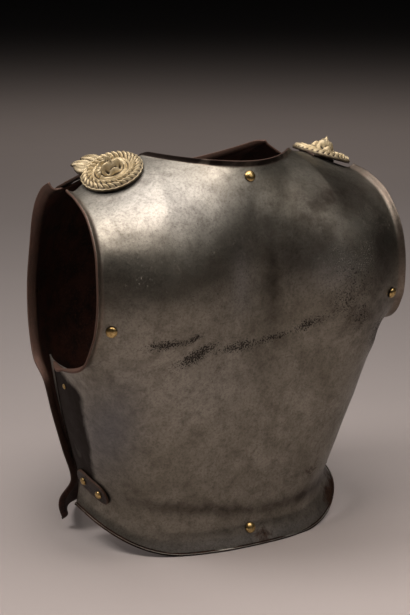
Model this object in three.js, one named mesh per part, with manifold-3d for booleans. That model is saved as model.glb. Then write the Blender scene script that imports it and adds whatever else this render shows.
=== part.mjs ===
// A cavalry cuirass of forged steel: a back plate and a breast plate, joined over the
// shoulders by leather straps under cast lion bosses. It stands on its two waist rims.
// Millimetres, +Z up. The breast faces -Y, the back faces +Y, the wearer's left is +X.

import * as THREE from 'three';
import { mergeVertices } from 'three/addons/utils/BufferGeometryUtils.js';
import Module from 'manifold-3d';

const wasm = await Module();
wasm.setup();

// ---------------------------------------------------------------- driving dimensions

const PLATE_THICKNESS = 2.4;
const GAP = 0.35;
const NECK_FLANGE = { width: 7, turn: 0.75 };
const BACK_FLANGE = { armhole: 9.5, seam: 1.2, turn: 0.8, cornerTurn: 1.1 };
const BREAST_FLANGE = { armhole: 11, seam: 8.5, turn: 1.3, cornerTurn: 1.3 };
const SHOULDER_EDGE_WIDTH = 0.8;
const BREAST_ROUNDNESS = 50;
const RIGHT_ARMHOLE_RISE = 9;
const ORIGIN_SHIFT = 1.9;
const CORNER = 0.55;
const FLAT_RIM = 0.27;
const SPINE_SHARPNESS = 1.2;
const SHOULDER = { reach: 14, rise: 7 };
const NECK_LEAN = 4;
const RIM_SWAY = 5;

const RIVET = { headRadius: 6, headHeight: 4, shankRadius: 2.4, tailRadius: 3.8, tailHeight: 1.2, sides: 9 };
const BELT_RIVET = { headRadius: 4.6, headHeight: 3, shankRadius: 2, tailRadius: 3.2, tailHeight: 1, sides: 7 };
const SMALL_RIVET = { headRadius: 3, headHeight: 1.8, shankRadius: 1.5, tailRadius: 2.4, tailHeight: 1, sides: 7 };

const STRAP = { width: 28, thickness: 2.4, lift: 1, backU: 0.79, breastU: 0.88, backEnd: 0.97, breastEnd: 0.92 };
const BELT_TAB = { startU: 0.985, endU: 0.72, startV: 0.157, endV: 0.146, width: 21, thickness: 2.2, lift: 1.3 };
const BELT_ENDS = { tipShare: 0.25, startShare: 0.2, vPerMm: 0.0021, narrowest: 0.02 };
const SIDE_STRIP = { thickness: 1.8, inset: 1.9, lowV: 0.17, highV: 0.352 };
const STRIP_UNDER = { reach: 44, bendRadius: 500 };
const STRIP_BEYOND = { reach: 42, bendRadius: 110 };

// The boss lies in its own plane: x outwards over the shoulder, y backwards, z out of it.
const BOSS = { v: 0.96, radius: 33, base: 5.5, ring: 22, leaves: 12, seat: 1, knotAngle: -1.06 };
const BOSS_PLACES = {
  left: { u: 0.75, forward: 0, tilt: [0.38, 0.27, 0.88] },
  right: { u: -0.86, forward: 31, tilt: [-0.27, 0.03, 0.9] },
};

// A row for each level of a plate, from the waist rim up to the neck. The edge is the
// side of the plate: the seam at first, then the armhole. The mid columns follow the
// spine or the keel. The corner columns place the neck corner on the rows where "flat"
// is over 0, and "square" is the superellipse power of the rounded rows below them.
const SEAM_LEVEL = 5;
const BACK_LEVELS = [
  { edgeX: 158, edgeY: 8, edgeZ: 38, midY: 122, midZ: 0, cornerY: 90, cornerZ: 0, flat: 0, square: 2.3, lobe: 0 },
  { edgeX: 151, edgeY: 6, edgeZ: 54, midY: 117, midZ: 17, cornerY: 90, cornerZ: 20, flat: 0, square: 2.35, lobe: 0 },
  { edgeX: 148, edgeY: 5, edgeZ: 70, midY: 114.5, midZ: 36, cornerY: 90, cornerZ: 40, flat: 0, square: 2.5, lobe: 0 },
  { edgeX: 158, edgeY: 9, edgeZ: 108, midY: 122, midZ: 84, cornerY: 95, cornerZ: 85, flat: 0, square: 2.65, lobe: 2 },
  { edgeX: 170, edgeY: 14, edgeZ: 153, midY: 131, midZ: 138, cornerY: 100, cornerZ: 140, flat: 0, square: 2.9, lobe: 4 },
  { edgeX: 180, edgeY: 18, edgeZ: 208, midY: 137, midZ: 182, cornerY: 110, cornerZ: 185, flat: 0, square: 3.1, lobe: 7 },
  { edgeX: 183, edgeY: 64, edgeZ: 210, midY: 140, midZ: 212, cornerY: 130, cornerZ: 214, flat: 0, square: 3.5, lobe: 10 },
  { edgeX: 180, edgeY: 113, edgeZ: 231, midY: 143, midZ: 243, cornerY: 146, cornerZ: 243, flat: 0, square: 3.4, lobe: 14 },
  { edgeX: 177, edgeY: 133, edgeZ: 260, midY: 145, midZ: 271, cornerY: 148, cornerZ: 272, flat: 0, square: 2.9, lobe: 17 },
  { edgeX: 175, edgeY: 140, edgeZ: 292, midY: 145, midZ: 299, cornerY: 148, cornerZ: 302, flat: 0, square: 2.7, lobe: 19 },
  { edgeX: 174, edgeY: 138, edgeZ: 325, midY: 143, midZ: 327, cornerY: 144, cornerZ: 333, flat: 0.1, square: 2.5, lobe: 17 },
  { edgeX: 172, edgeY: 129, edgeZ: 352, midY: 139, midZ: 353, cornerY: 134, cornerZ: 363, flat: 0.3, square: 2.5, lobe: 13 },
  { edgeX: 170, edgeY: 107, edgeZ: 377, midY: 133, midZ: 378, cornerY: 114, cornerZ: 393, flat: 0.6, square: 2.5, lobe: 8 },
  { edgeX: 168, edgeY: 76, edgeZ: 391, midY: 125, midZ: 400, cornerY: 84, cornerZ: 414, flat: 0.88, square: 2.5, lobe: 3 },
  { edgeX: 166, edgeY: 50, edgeZ: 397, midY: 116, midZ: 418, cornerY: 53, cornerZ: 425, flat: 1, square: 2.5, lobe: 0 },
];

const BREAST_LEVELS = [
  { edgeX: 149, edgeY: -30, edgeZ: 14, midY: -120, midZ: 0, cornerY: -90, cornerZ: 0, flat: 0, square: 2.4, lobe: 0 },
  { edgeX: 156, edgeY: -20, edgeZ: 36, midY: -114, midZ: 19, cornerY: -90, cornerZ: 20, flat: 0, square: 2.3, lobe: 0 },
  { edgeX: 142, edgeY: -18, edgeZ: 60, midY: -112, midZ: 38, cornerY: -90, cornerZ: 40, flat: 0, square: 2.2, lobe: 0 },
  { edgeX: 152, edgeY: -19, edgeZ: 100, midY: -124, midZ: 80, cornerY: -95, cornerZ: 85, flat: 0, square: 2.2, lobe: 0 },
  { edgeX: 163, edgeY: -20, edgeZ: 142, midY: -140, midZ: 124, cornerY: -100, cornerZ: 128, flat: 0, square: 2.2, lobe: 0 },
  { edgeX: 170, edgeY: -22, edgeZ: 176, midY: -152, midZ: 162, cornerY: -118, cornerZ: 165, flat: 0, square: 2.2, lobe: 0 },
  { edgeX: 170, edgeY: -45, edgeZ: 199, midY: -160, midZ: 193, cornerY: -130, cornerZ: 195, flat: 0, square: 2.2, lobe: 0 },
  { edgeX: 169, edgeY: -57, edgeZ: 227, midY: -164, midZ: 221, cornerY: -136, cornerZ: 224, flat: 0, square: 2.2, lobe: 0 },
  { edgeX: 168, edgeY: -62, edgeZ: 256, midY: -166, midZ: 248, cornerY: -138, cornerZ: 254, flat: 0, square: 2.2, lobe: 0 },
  { edgeX: 167, edgeY: -62, edgeZ: 286, midY: -164, midZ: 275, cornerY: -136, cornerZ: 286, flat: 0, square: 2.2, lobe: 0 },
  { edgeX: 165, edgeY: -58, edgeZ: 316, midY: -159, midZ: 301, cornerY: -128, cornerZ: 320, flat: 0.1, square: 2.2, lobe: 0 },
  { edgeX: 164, edgeY: -50, edgeZ: 344, midY: -151, midZ: 325, cornerY: -112, cornerZ: 353, flat: 0.3, square: 2.2, lobe: 0 },
  { edgeX: 163, edgeY: -38, edgeZ: 368, midY: -140, midZ: 347, cornerY: -83, cornerZ: 385, flat: 0.6, square: 2.2, lobe: 0 },
  { edgeX: 162, edgeY: -24, edgeZ: 383, midY: -127, midZ: 367, cornerY: -43, cornerZ: 410, flat: 0.88, square: 2.2, lobe: 0 },
  { edgeX: 161, edgeY: -10, edgeZ: 390, midY: -114, midZ: 383, cornerY: -1, cornerZ: 425, flat: 1, square: 2.2, lobe: 0 },
];

// ---------------------------------------------------------------- materials

const STEEL = { color: 0x8a8580, roughness: 0.42, metalness: 1 };
const BRASS = { color: 0xb89a5c, roughness: 0.38, metalness: 1 };
const CAST_BRASS = { color: 0xc2b48f, roughness: 0.5, metalness: 1 };
const LEATHER = { color: 0x2a1d16, roughness: 0.75, metalness: 0 };

const cuirass = new THREE.Group();

function addPiece(name, geometry, look) {
  const mesh = new THREE.Mesh(geometry, new THREE.MeshStandardMaterial(look));
  mesh.name = name;
  cuirass.add(mesh);
  return mesh;
}

// ---------------------------------------------------------------- small helpers

const lerp = THREE.MathUtils.lerp;
const clamp = THREE.MathUtils.clamp;
const smoothstep = THREE.MathUtils.smoothstep;

// The value of one column at a height v of 0 to 1, on a smooth curve through the rows.
// The back plate's edge turns a corner at the top of the seam, so its curve ends there and
// starts again.
function columnAt(levels, column, v) {
  const last = levels.length - 1;
  const place = clamp(v, 0, 1) * last;
  const i = Math.min(Math.floor(place), last - 1);
  const t = place - i;
  const corner = levels === BACK_LEVELS && column.startsWith('edge');
  const lowest = corner && i >= SEAM_LEVEL ? SEAM_LEVEL : 0;
  const highest = corner && i < SEAM_LEVEL ? SEAM_LEVEL : last;
  const value = (k) => levels[clamp(k, lowest, highest)][column];
  const slopeStart = (value(i + 1) - value(i - 1)) / 2;
  const slopeEnd = (value(i + 2) - value(i)) / 2;
  const t2 = t * t;
  const t3 = t2 * t;
  return (2 * t3 - 3 * t2 + 1) * value(i)
    + (t3 - 2 * t2 + t) * slopeStart
    + (3 * t2 - 2 * t3) * value(i + 1)
    + (t3 - t2) * slopeEnd;
}

// The outer face of a plate inside its turned edges: u runs from -1 at one side over 0 at
// the middle to 1 at the other side, and v from 0 at the waist rim to 1 at the neck.
function bodyPoint(levels, u, v) {
  const at = (column) => columnAt(levels, column, v);
  const s = Math.min(Math.abs(u), 1);
  const outwards = Math.sign(levels[0].midY);
  const power = 2 / at('square');
  const roundness = levels === BREAST_LEVELS ? BREAST_ROUNDNESS : 0;
  const base = outwards * (Math.min(outwards * at('edgeY'), outwards * levels[SEAM_LEVEL].edgeY) - roundness);
  const depth = at('midY') - base;
  const endAngle = Math.acos(clamp((at('edgeY') - base) / depth, 0, 1) ** (1 / power));
  const roundAcross = (Math.sin(s * endAngle) / Math.sin(endAngle)) ** power;
  const roundY = base + depth * Math.max(Math.cos(s * endAngle), 0) ** power;
  const inner = clamp(s / CORNER, 0, 1);
  const outer = clamp((1 - s) / (1 - CORNER), 0, 1);

  const overShoulder = Math.sin(Math.PI * outer) * smoothstep(v, 0.85, 1);
  let flatY = lerp(at('edgeY'), at('cornerY'), smoothstep(outer, 0, 1));
  let flatZ = lerp(at('edgeZ'), at('cornerZ'), outer ** 1.5);
  if (levels === BACK_LEVELS) {
    flatY -= SHOULDER.reach * overShoulder;
    flatZ += SHOULDER.rise * overShoulder;
  }
  if (s < CORNER) {
    flatY = lerp(at('cornerY'), at('midY'), Math.cos(inner * Math.PI / 2) ** 0.9);
    flatZ = lerp(at('midZ'), at('cornerZ'), inner ** 2);
  }
  const rimArch = smoothstep(s, FLAT_RIM, 1.05) / smoothstep(1, FLAT_RIM, 1.05);
  const arch = lerp(rimArch, s ** 4, smoothstep(v, 0.2, 0.36));
  const roundZ = lerp(at('midZ'), at('edgeZ'), arch);

  const flat = at('flat');
  const lobe = at('lobe') * Math.sin(Math.PI * s) ** SPINE_SHARPNESS;
  const side = Math.sign(u);
  const sway = RIM_SWAY * (1 - smoothstep(v, 0, 0.15));
  const lean = NECK_LEAN * u / CORNER * smoothstep(v, 0.7, 1) * (s < CORNER ? 1 : CORNER / s * outer);
  const belowArm = smoothstep(v, 0.3, 0.42) * (1 - smoothstep(v, 0.5, 0.65));
  const rise = side < 0 ? RIGHT_ARMHOLE_RISE * s ** 4 * belowArm : 0;
  return new THREE.Vector3(
    side * at('edgeX') * lerp(roundAcross, s, flat) - (levels === BACK_LEVELS ? sway : 0),
    lerp(roundY, flatY, flat) + outwards * lobe,
    lerp(roundZ, flatZ, flat) + (levels === BACK_LEVELS ? lean + rise : 0),
  );
}

const STEP = 0.004;
const SEAM_TOP = SEAM_LEVEL / (BACK_LEVELS.length - 1);
const CORNER_BLEND = 0.06;
const TURN_BLEND = 0.2;

// Directions at a point of a plate's outer face: across towards +X, up, and out of it.
function bodyDirections(levels, u, v) {
  const across = bodyPoint(levels, u + STEP, v).sub(bodyPoint(levels, u - STEP, v));
  if (Math.abs(u) > 1 - STEP) {
    const within = Math.sign(u) * (1 - STEP);
    across.subVectors(bodyPoint(levels, within + STEP, v), bodyPoint(levels, within - STEP, v));
  }
  const low = clamp(v - STEP, 0, 1);
  const high = clamp(v + STEP, 0, 1);
  const up = bodyPoint(levels, u, high).sub(bodyPoint(levels, u, low)).normalize();
  const outwards = Math.sign(levels[0].midY);
  const out = new THREE.Vector3().crossVectors(up, across).multiplyScalar(outwards).normalize();
  return { across: across.normalize(), up, out };
}

// How far an edge that is turned by "turn" radians has moved on and out after a length.
function turnedEdge(length, width, turn) {
  const radius = 0.6 * width / turn;
  const arc = Math.min(length, radius * turn);
  const straight = length - arc;
  const angle = arc / radius;
  return {
    on: radius * Math.sin(angle) + straight * Math.cos(angle),
    out: radius * (1 - Math.cos(angle)) + straight * Math.sin(angle),
  };
}

// The whole outer face of a plate. Past |u| = 1 and v = 1 it runs on into the turned
// edges, and ends a whole 1 further on. The side edge is narrow along the seam, wide
// round the armhole, and turns sharpest at the corner between them.
function platePoint(levels, u, v) {
  const uBody = clamp(u, -1, 1);
  const vBody = clamp(v, 0, 1);
  const point = bodyPoint(levels, uBody, vBody);
  const { up, out } = bodyDirections(levels, uBody, vBody);
  const handed = -Math.sign(u) * Math.sign(levels[0].midY);
  const sideways = new THREE.Vector3().crossVectors(up, out).multiplyScalar(handed);
  const flange = levels === BACK_LEVELS ? BACK_FLANGE : BREAST_FLANGE;
  const sideWidth = lerp(flange.seam, flange.armhole, smoothstep(vBody, SEAM_TOP, SEAM_TOP + CORNER_BLEND));
  const past = Math.abs(u) - Math.abs(uBody);
  if (past > 0) {
    const turn = lerp(flange.cornerTurn, flange.turn, smoothstep(vBody, SEAM_TOP, SEAM_TOP + TURN_BLEND));
    const edge = turnedEdge(past * sideWidth, sideWidth, turn);
    point.addScaledVector(sideways, edge.on);
    point.addScaledVector(out, edge.out);
  }
  if (v > 1) {
    const neck = 1 - smoothstep(Math.abs(u), CORNER - 0.04, CORNER + 0.03);
    const width = lerp(SHOULDER_EDGE_WIDTH, NECK_FLANGE.width, neck);
    const edge = turnedEdge((v - 1) * width, width, NECK_FLANGE.turn * neck + 0.01);
    point.addScaledVector(up, edge.on);
    point.addScaledVector(out, edge.out);
  }
  return point;
}

// A closed sheet over a grid of points: the outer face, the same face moved in by the
// thickness, and the four edges. A flat foot keeps the first row's cut level.
function sheet(pointAt, across, along, thickness, flatFoot = false) {
  const wide = across.length;
  const grid = along.map((b) => across.map((a) => pointAt(a, b)));
  const normalAt = (j, i) => {
    const left = grid[j][Math.max(i - 1, 0)];
    const right = grid[j][Math.min(i + 1, wide - 1)];
    const low = grid[Math.max(j - 1, 0)][i];
    const high = grid[Math.min(j + 1, grid.length - 1)][i];
    const normal = new THREE.Vector3().subVectors(right, left).cross(new THREE.Vector3().subVectors(high, low));
    if (flatFoot && j === 0) {
      normal.z = 0;
    }
    return normal.normalize();
  };
  const positions = [];
  grid.forEach((row) => row.forEach((point) => positions.push(...point)));
  grid.forEach((row, j) => row.forEach((point, i) => {
    positions.push(...point.clone().addScaledVector(normalAt(j, i), -thickness));
  }));

  const count = grid.length * wide;
  const indices = [];
  const quad = (a, b, c, d) => indices.push(a, b, c, a, c, d);
  const top = grid.length - 1;
  for (let j = 0; j < top; j += 1) {
    for (let i = 0; i < wide - 1; i += 1) {
      const k = j * wide + i;
      quad(k, k + 1, k + wide + 1, k + wide);
      quad(count + k, count + k + wide, count + k + wide + 1, count + k + 1);
    }
    const first = j * wide;
    const last = first + wide - 1;
    quad(first, first + wide, count + first + wide, count + first);
    quad(last, count + last, count + last + wide, last + wide);
  }
  for (let i = 0; i < wide - 1; i += 1) {
    const k = top * wide + i;
    quad(i, count + i, count + i + 1, i + 1);
    quad(k, k + 1, count + k + 1, count + k);
  }
  const geometry = new THREE.BufferGeometry();
  geometry.setAttribute('position', new THREE.Float32BufferAttribute(positions, 3));
  geometry.setIndex(indices);
  return geometry;
}

// Values from -1 to 1 in a number of steps, with the turned edges' values past each end.
function spread(steps, edges) {
  const body = Array.from({ length: steps + 1 }, (_, i) => 2 * i / steps - 1);
  return [...edges.map((e) => -1 - e).reverse(), ...body, ...edges.map((e) => 1 + e)];
}

function toSolid(geometry) {
  const bare = geometry.clone();
  bare.deleteAttribute('normal');
  bare.deleteAttribute('uv');
  const merged = mergeVertices(bare, 1e-4);
  return new wasm.Manifold(new wasm.Mesh({
    numProp: 3,
    vertProperties: new Float32Array(merged.attributes.position.array),
    triVerts: new Uint32Array(merged.index.array),
  }));
}

function toGeometry(solid) {
  const mesh = solid.getMesh();
  const geometry = new THREE.BufferGeometry();
  geometry.setAttribute('position', new THREE.Float32BufferAttribute(mesh.vertProperties, 3));
  geometry.setIndex(Array.from(mesh.triVerts));
  return geometry;
}

// ---------------------------------------------------------------- plates

const COLUMNS = spread(20, [0.5, 1]);
const LEVELS_CUT = [
  0, 0.5, 1, 1.5, 2, 3, 4, 4.6, 5, 5.3, 5.7, 6.3, 7, 7.7,
  8.4, 9.2, 10, 10.6, 11.2, 11.7, 12.2, 12.7, 13.2, 13.6, 14,
];
const ROWS = [...LEVELS_CUT.map((level) => level / (BACK_LEVELS.length - 1)), 1.5, 2];

const backPoint = (u, v) => platePoint(BACK_LEVELS, u, v);
const breastPoint = (u, v) => platePoint(BREAST_LEVELS, u, v);

// Each plate runs across in the sense that turns its sheet's outer face outwards.
const backSheet = sheet((u, v) => backPoint(-u, v), COLUMNS, ROWS, PLATE_THICKNESS, true);
const breastSheet = sheet(breastPoint, COLUMNS, ROWS, PLATE_THICKNESS, true);

// ---------------------------------------------------------------- seats on a plate

const PLATES = {
  back: { levels: BACK_LEVELS, mesh: new THREE.Mesh(backSheet), solid: toSolid(backSheet) },
  breast: { levels: BREAST_LEVELS, mesh: new THREE.Mesh(breastSheet), solid: toSolid(breastSheet) },
};

// A frame on a plate's outer face: its origin on the face and z out of it.
function frameOn(plate, u, v, out = null) {
  const origin = bodyPoint(plate.levels, u, v);
  const directions = bodyDirections(plate.levels, u, v);
  const z = (out ?? directions.out).clone().normalize();
  const x = new THREE.Vector3().crossVectors(directions.up, z).normalize();
  const y = new THREE.Vector3().crossVectors(z, x);
  return new THREE.Matrix4().makeBasis(x, y, z).setPosition(origin);
}

// The heights of a plate's faces over a disc of the frame's plane, found by rays:
// the highest point of the outer face and the lowest point of the inner face.
function seatHeights(plate, frame, radius) {
  const reach = 40;
  const heights = { top: -Infinity, bottom: Infinity };
  const x = new THREE.Vector3();
  const y = new THREE.Vector3();
  const z = new THREE.Vector3();
  frame.extractBasis(x, y, z);
  for (const ring of [0, 0.5, 0.85, 1]) {
    for (let k = 0; k < 16; k += 1) {
      const angle = k * Math.PI / 8;
      const foot = new THREE.Vector3(ring * radius * Math.cos(angle), ring * radius * Math.sin(angle), 0);
      foot.applyMatrix4(frame);
      const above = foot.clone().addScaledVector(z, reach);
      const below = foot.clone().addScaledVector(z, -reach);
      const [outer] = new THREE.Raycaster(above, z.clone().negate()).intersectObject(plate.mesh);
      const [inner] = new THREE.Raycaster(below, z).intersectObject(plate.mesh);
      if (outer && inner) {
        heights.top = Math.max(heights.top, reach - outer.distance);
        heights.bottom = Math.min(heights.bottom, inner.distance - reach);
      }
    }
  }
  return heights;
}

// ---------------------------------------------------------------- leather and strips

const solids = {};

// The stretch of steel behind each seam, inside both plates, that closes the side.
function sideStrip(side) {
  const { inset, lowV, highV, thickness } = SIDE_STRIP;
  const pointAt = (a, b) => {
    const edge = bodyPoint(BACK_LEVELS, side, lerp(lowV, highV, b));
    const past = lerp(STRIP_UNDER.reach, -STRIP_BEYOND.reach, a);
    const { bendRadius } = past > 0 ? STRIP_UNDER : STRIP_BEYOND;
    const bend = past ** 2 / 2 / bendRadius;
    return new THREE.Vector3(edge.x - side * (PLATE_THICKNESS + inset + bend), edge.y + past, edge.z);
  };
  const across = side > 0 ? [1, 0.67, 0.33, 0] : [0, 0.33, 0.67, 1];
  return sheet(pointAt, across, [0, 0.25, 0.5, 0.75, 1], thickness);
}

// A point a little off the outer face of the back plate.
function offBack(u, v, lift) {
  return bodyPoint(BACK_LEVELS, u, v).addScaledVector(bodyDirections(BACK_LEVELS, u, v).out, lift);
}

// The riveted end of the waist belt, with a rounded tip towards the middle of the back.
function beltTab(side) {
  const { startU, endU, startV, endV, width, thickness, lift } = BELT_TAB;
  const { tipShare, startShare, vPerMm, narrowest } = BELT_ENDS;
  const rounded = (past) => Math.sqrt(Math.max(1 - Math.max(past, 0) ** 2, narrowest));
  const pointAt = (a, b) => {
    const half = width / 2 * Math.min(rounded(1 - (1 - b) / tipShare), rounded(1 - b / startShare));
    const v = lerp(startV, endV, b) + a * half * vPerMm;
    return offBack(side * lerp(startU, endU, b), v, lift + thickness);
  };
  const along = [0, 0.07, 0.2, 0.4, 0.6, 0.75, 0.9, 1];
  const across = side > 0 ? [1, 0, -1] : [-1, 0, 1];
  return sheet(pointAt, across, along, thickness);
}

// A shoulder strap: it lies on the back plate, crosses the gap and lies on the breast.
// With a margin it is the space that the strap needs, down to the plate.
function shoulderStrap(side, margin = 0) {
  const { lift, backU, breastU, breastEnd } = STRAP;
  const width = STRAP.width + 2 * margin;
  const thickness = STRAP.thickness + 8 * margin;
  const backEnd = STRAP.backEnd - margin / 60;
  const stations = [
    { levels: BACK_LEVELS, u: backU, v: backEnd },
    { levels: BACK_LEVELS, u: backU, v: lerp(backEnd, 1, 0.5) },
    { levels: BACK_LEVELS, u: backU, v: 1 },
    { levels: BREAST_LEVELS, u: breastU, v: 1 },
    { levels: BREAST_LEVELS, u: breastU, v: lerp(breastEnd, 1, 0.5) },
    { levels: BREAST_LEVELS, u: breastU, v: breastEnd },
  ];
  const pointAt = (a, b) => {
    const points = stations.map(({ levels, u, v }) => {
      const halfU = width / 2 / levels[levels.length - 1].edgeX;
      const across = side * (u + a * halfU);
      const { out } = bodyDirections(levels, across, v);
      return bodyPoint(levels, across, v).addScaledVector(out, lift + STRAP.thickness + margin);
    });
    return new THREE.CatmullRomCurve3(points, false, 'centripetal').getPoint(b);
  };
  const across = side > 0 ? [-1, 0, 1] : [1, 0, -1];
  const along = Array.from({ length: 13 }, (_, k) => k / 12);
  return sheet((a, b) => pointAt(-a, b), across, along, thickness);
}

for (const [word, side] of [['left', 1], ['right', -1]]) {
  solids[`${word}_side_strip`] = toSolid(sideStrip(side));
  solids[`${word}_belt_tab`] = toSolid(beltTab(side));
  solids[`${word}_shoulder_strap`] = toSolid(shoulderStrap(side));
}

// ---------------------------------------------------------------- rivets

// A domed rivet through a plate: the head outside, the shank in a clear hole, and the
// flat tail inside. "over" and "behind" are the heights of what else it goes through.
function rivetThrough(name, { plate, u, v, size = RIVET, over = 0, behind = 0, through = [] }) {
  const frame = frameOn(PLATES[plate], u, v);
  const head = seatHeights(PLATES[plate], frame, size.headRadius).top + GAP + over;
  const tail = seatHeights(PLATES[plate], frame, size.tailRadius).bottom - GAP - behind;
  const profile = [
    new THREE.Vector2(0, tail - size.tailHeight),
    new THREE.Vector2(size.tailRadius, tail - size.tailHeight),
    new THREE.Vector2(size.tailRadius, tail),
    new THREE.Vector2(size.shankRadius, tail),
    new THREE.Vector2(size.shankRadius, head),
  ];
  for (const angle of [0, 0.55, 1.1]) {
    profile.push(new THREE.Vector2(size.headRadius * Math.cos(angle), head + size.headHeight * Math.sin(angle)));
  }
  profile.push(new THREE.Vector2(0, head + size.headHeight));
  const geometry = new THREE.LatheGeometry(profile, size.sides).rotateX(Math.PI / 2);
  solids[name] = toSolid(geometry.applyMatrix4(frame));

  const bore = (size.shankRadius + GAP) / Math.cos(Math.PI / 6);
  const cylinder = new THREE.CylinderGeometry(bore, bore, 24, 6).rotateX(Math.PI / 2);
  const drill = toSolid(cylinder.applyMatrix4(frame));
  PLATES[plate].solid = PLATES[plate].solid.subtract(drill);
  for (const piece of through) {
    solids[piece] = solids[piece].subtract(drill);
  }
}

rivetThrough('back_neck_rivet', { plate: 'back', u: 0, v: 0.963 });
rivetThrough('back_waist_rivet', { plate: 'back', u: -0.01, v: 0.085 });
rivetThrough('breast_neck_rivet', { plate: 'breast', u: 0, v: 0.95 });
rivetThrough('breast_waist_rivet', { plate: 'breast', u: 0, v: 0.085 });

for (const [word, side] of [['left', 1], ['right', -1]]) {
  rivetThrough(`${word}_back_armhole_rivet`, { plate: 'back', u: 0.93 * side, v: 0.587 });
  rivetThrough(`${word}_breast_armhole_rivet`, { plate: 'breast', u: 0.93 * side, v: 0.6 });
  const tab = `${word}_belt_tab`;
  const onTab = { plate: 'back', size: BELT_RIVET, over: BELT_TAB.lift + BELT_TAB.thickness, through: [tab] };
  rivetThrough(`${word}_belt_rivet_1`, { ...onTab, u: 0.925 * side, v: 0.154 });
  rivetThrough(`${word}_belt_rivet_2`, { ...onTab, u: 0.79 * side, v: 0.149 });
  const strip = `${word}_side_strip`;
  const behind = SIDE_STRIP.inset + SIDE_STRIP.thickness + 2 * GAP;
  const onStrip = { plate: 'back', size: SMALL_RIVET, behind, through: [strip] };
  rivetThrough(`${word}_strip_rivet`, { ...onStrip, u: 0.955 * side, v: 0.33 });
  const strap = `${word}_shoulder_strap`;
  const onStrap = { plate: 'breast', size: SMALL_RIVET, over: STRAP.lift + STRAP.thickness, through: [strap] };
  rivetThrough(`${word}_strap_rivet`, { ...onStrap, u: STRAP.breastU * side, v: 0.955 });
}

// ---------------------------------------------------------------- lion bosses

// A round or a pointed lump of the given half-sizes, turned in the boss's plane.
function lump(place, size, turn = 0, pointed = false) {
  const form = pointed ? new THREE.OctahedronGeometry(1) : new THREE.SphereGeometry(1, 7, 4).rotateX(Math.PI / 2);
  return toSolid(form.scale(...size).rotateZ(turn).translate(...place));
}

// The lumps of the lion's head, each with its place over the boss's floor and its
// half-sizes. Those of one side are mirrored to the other.
const HEAD_LUMPS = [
  { place: [0, -2, 0], size: [15, 16, 8] },
  { place: [0, -11, 2], size: [8, 5, 6] },
  { place: [0, -4, 6], size: [3.8, 9, 8.5] },
  { place: [0, 2, 8.5], size: [4.6, 4, 9] },
  { place: [0, 10, 2], size: [4.6, 3.6, 6] },
];
const SIDE_LUMPS = [
  { place: [7.5, -8, 3], size: [6.5, 3.4, 6.5] },
  { place: [9.5, 3, 1], size: [6, 8, 6] },
  { place: [4.6, 3, 4.5], size: [5, 4.8, 8.5] },
];
const MANE_LOCKS = { count: 7, radius: 16.5, size: [4.6, 5.6, 4.5] };
const KNOT_LEAVES = [
  { turn: -0.34, reach: 33, size: [10, 6, 4] },
  { turn: 0.02, reach: 36, size: [11, 6.4, 4.5] },
  { turn: 0.36, reach: 33, size: [10, 6, 4] },
];

// The cast boss in its own plane: a disc, a wreath of leaves, the lion's head with some
// locks of its mane round the brow, and a knot of leaves over the strap.
function bossSolid() {
  const { radius, base, ring, leaves, knotAngle } = BOSS;
  const disc = [[0, 0], [radius - 1, 0], [radius, 3.4], [ring + 1, base + 1], [ring - 1, base], [0, base]];
  const profile = disc.map(([r, z]) => new THREE.Vector2(r, z));
  const pieces = [toSolid(new THREE.LatheGeometry(profile, 24).rotateX(Math.PI / 2))];
  const around = (r, angle) => [r * Math.cos(angle), r * Math.sin(angle)];
  for (let k = 0; k < leaves; k += 1) {
    const angle = k * 2 * Math.PI / leaves;
    pieces.push(lump([...around(radius - 5, angle), base], [4.6, 6.4, 2.6], angle - 0.5, true));
  }
  for (let k = 0; k < MANE_LOCKS.count; k += 1) {
    const angle = -Math.PI * (k + 0.5) / MANE_LOCKS.count;
    pieces.push(lump([...around(MANE_LOCKS.radius, angle), base], MANE_LOCKS.size, angle, true));
  }
  for (const { place: [x, y, z], size } of HEAD_LUMPS) {
    pieces.push(lump([x, y, base + z], size));
  }
  for (const { place: [x, y, z], size } of SIDE_LUMPS) {
    pieces.push(lump([x, y, base + z], size, 0, true), lump([-x, y, base + z], size, 0, true));
  }
  for (const { turn, reach, size } of KNOT_LEAVES) {
    const angle = knotAngle + turn;
    pieces.push(lump([...around(reach, angle), base], size, angle, true));
  }
  return wasm.Manifold.union(pieces).trimByPlane([0, 0, 1], 0);
}

const bossModel = bossSolid();

function lionBoss(word, side) {
  const { u, forward, tilt } = BOSS_PLACES[word];
  const out = new THREE.Vector3(...tilt).normalize();
  const origin = bodyPoint(BACK_LEVELS, u, BOSS.v);
  origin.y -= forward;
  const x = new THREE.Vector3(1, 0, 0).addScaledVector(out, -out.x).normalize();
  const y = new THREE.Vector3().crossVectors(out, x);
  const frame = new THREE.Matrix4().makeBasis(x, y, out).setPosition(origin);
  const tops = Object.values(PLATES).map((plate) => seatHeights(plate, frame, BOSS.radius).top);
  frame.setPosition(origin.addScaledVector(out, Math.max(...tops) + BOSS.seat));
  const placed = (side > 0 ? bossModel : bossModel.mirror([1, 0, 0])).transform(frame.elements);
  const bodies = placed.subtract(toSolid(shoulderStrap(side, GAP + 0.1))).decompose();
  [solids[`${word}_lion_boss`]] = bodies.sort((a, b) => b.volume() - a.volume());
}

lionBoss('left', 1);
lionBoss('right', -1);

// ---------------------------------------------------------------- the assembly

const LOOKS = [
  { word: 'rivet', look: BRASS },
  { word: 'boss', look: CAST_BRASS },
  { word: 'tab', look: LEATHER },
  { word: 'strap', look: LEATHER },
  { word: 'strip', look: STEEL },
];

addPiece('back_plate', toGeometry(PLATES.back.solid), STEEL);
addPiece('breast_plate', toGeometry(PLATES.breast.solid), STEEL);
for (const [name, solid] of Object.entries(solids)) {
  const { look } = LOOKS.find(({ word }) => name.includes(word));
  addPiece(name, toGeometry(solid), look);
}

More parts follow.
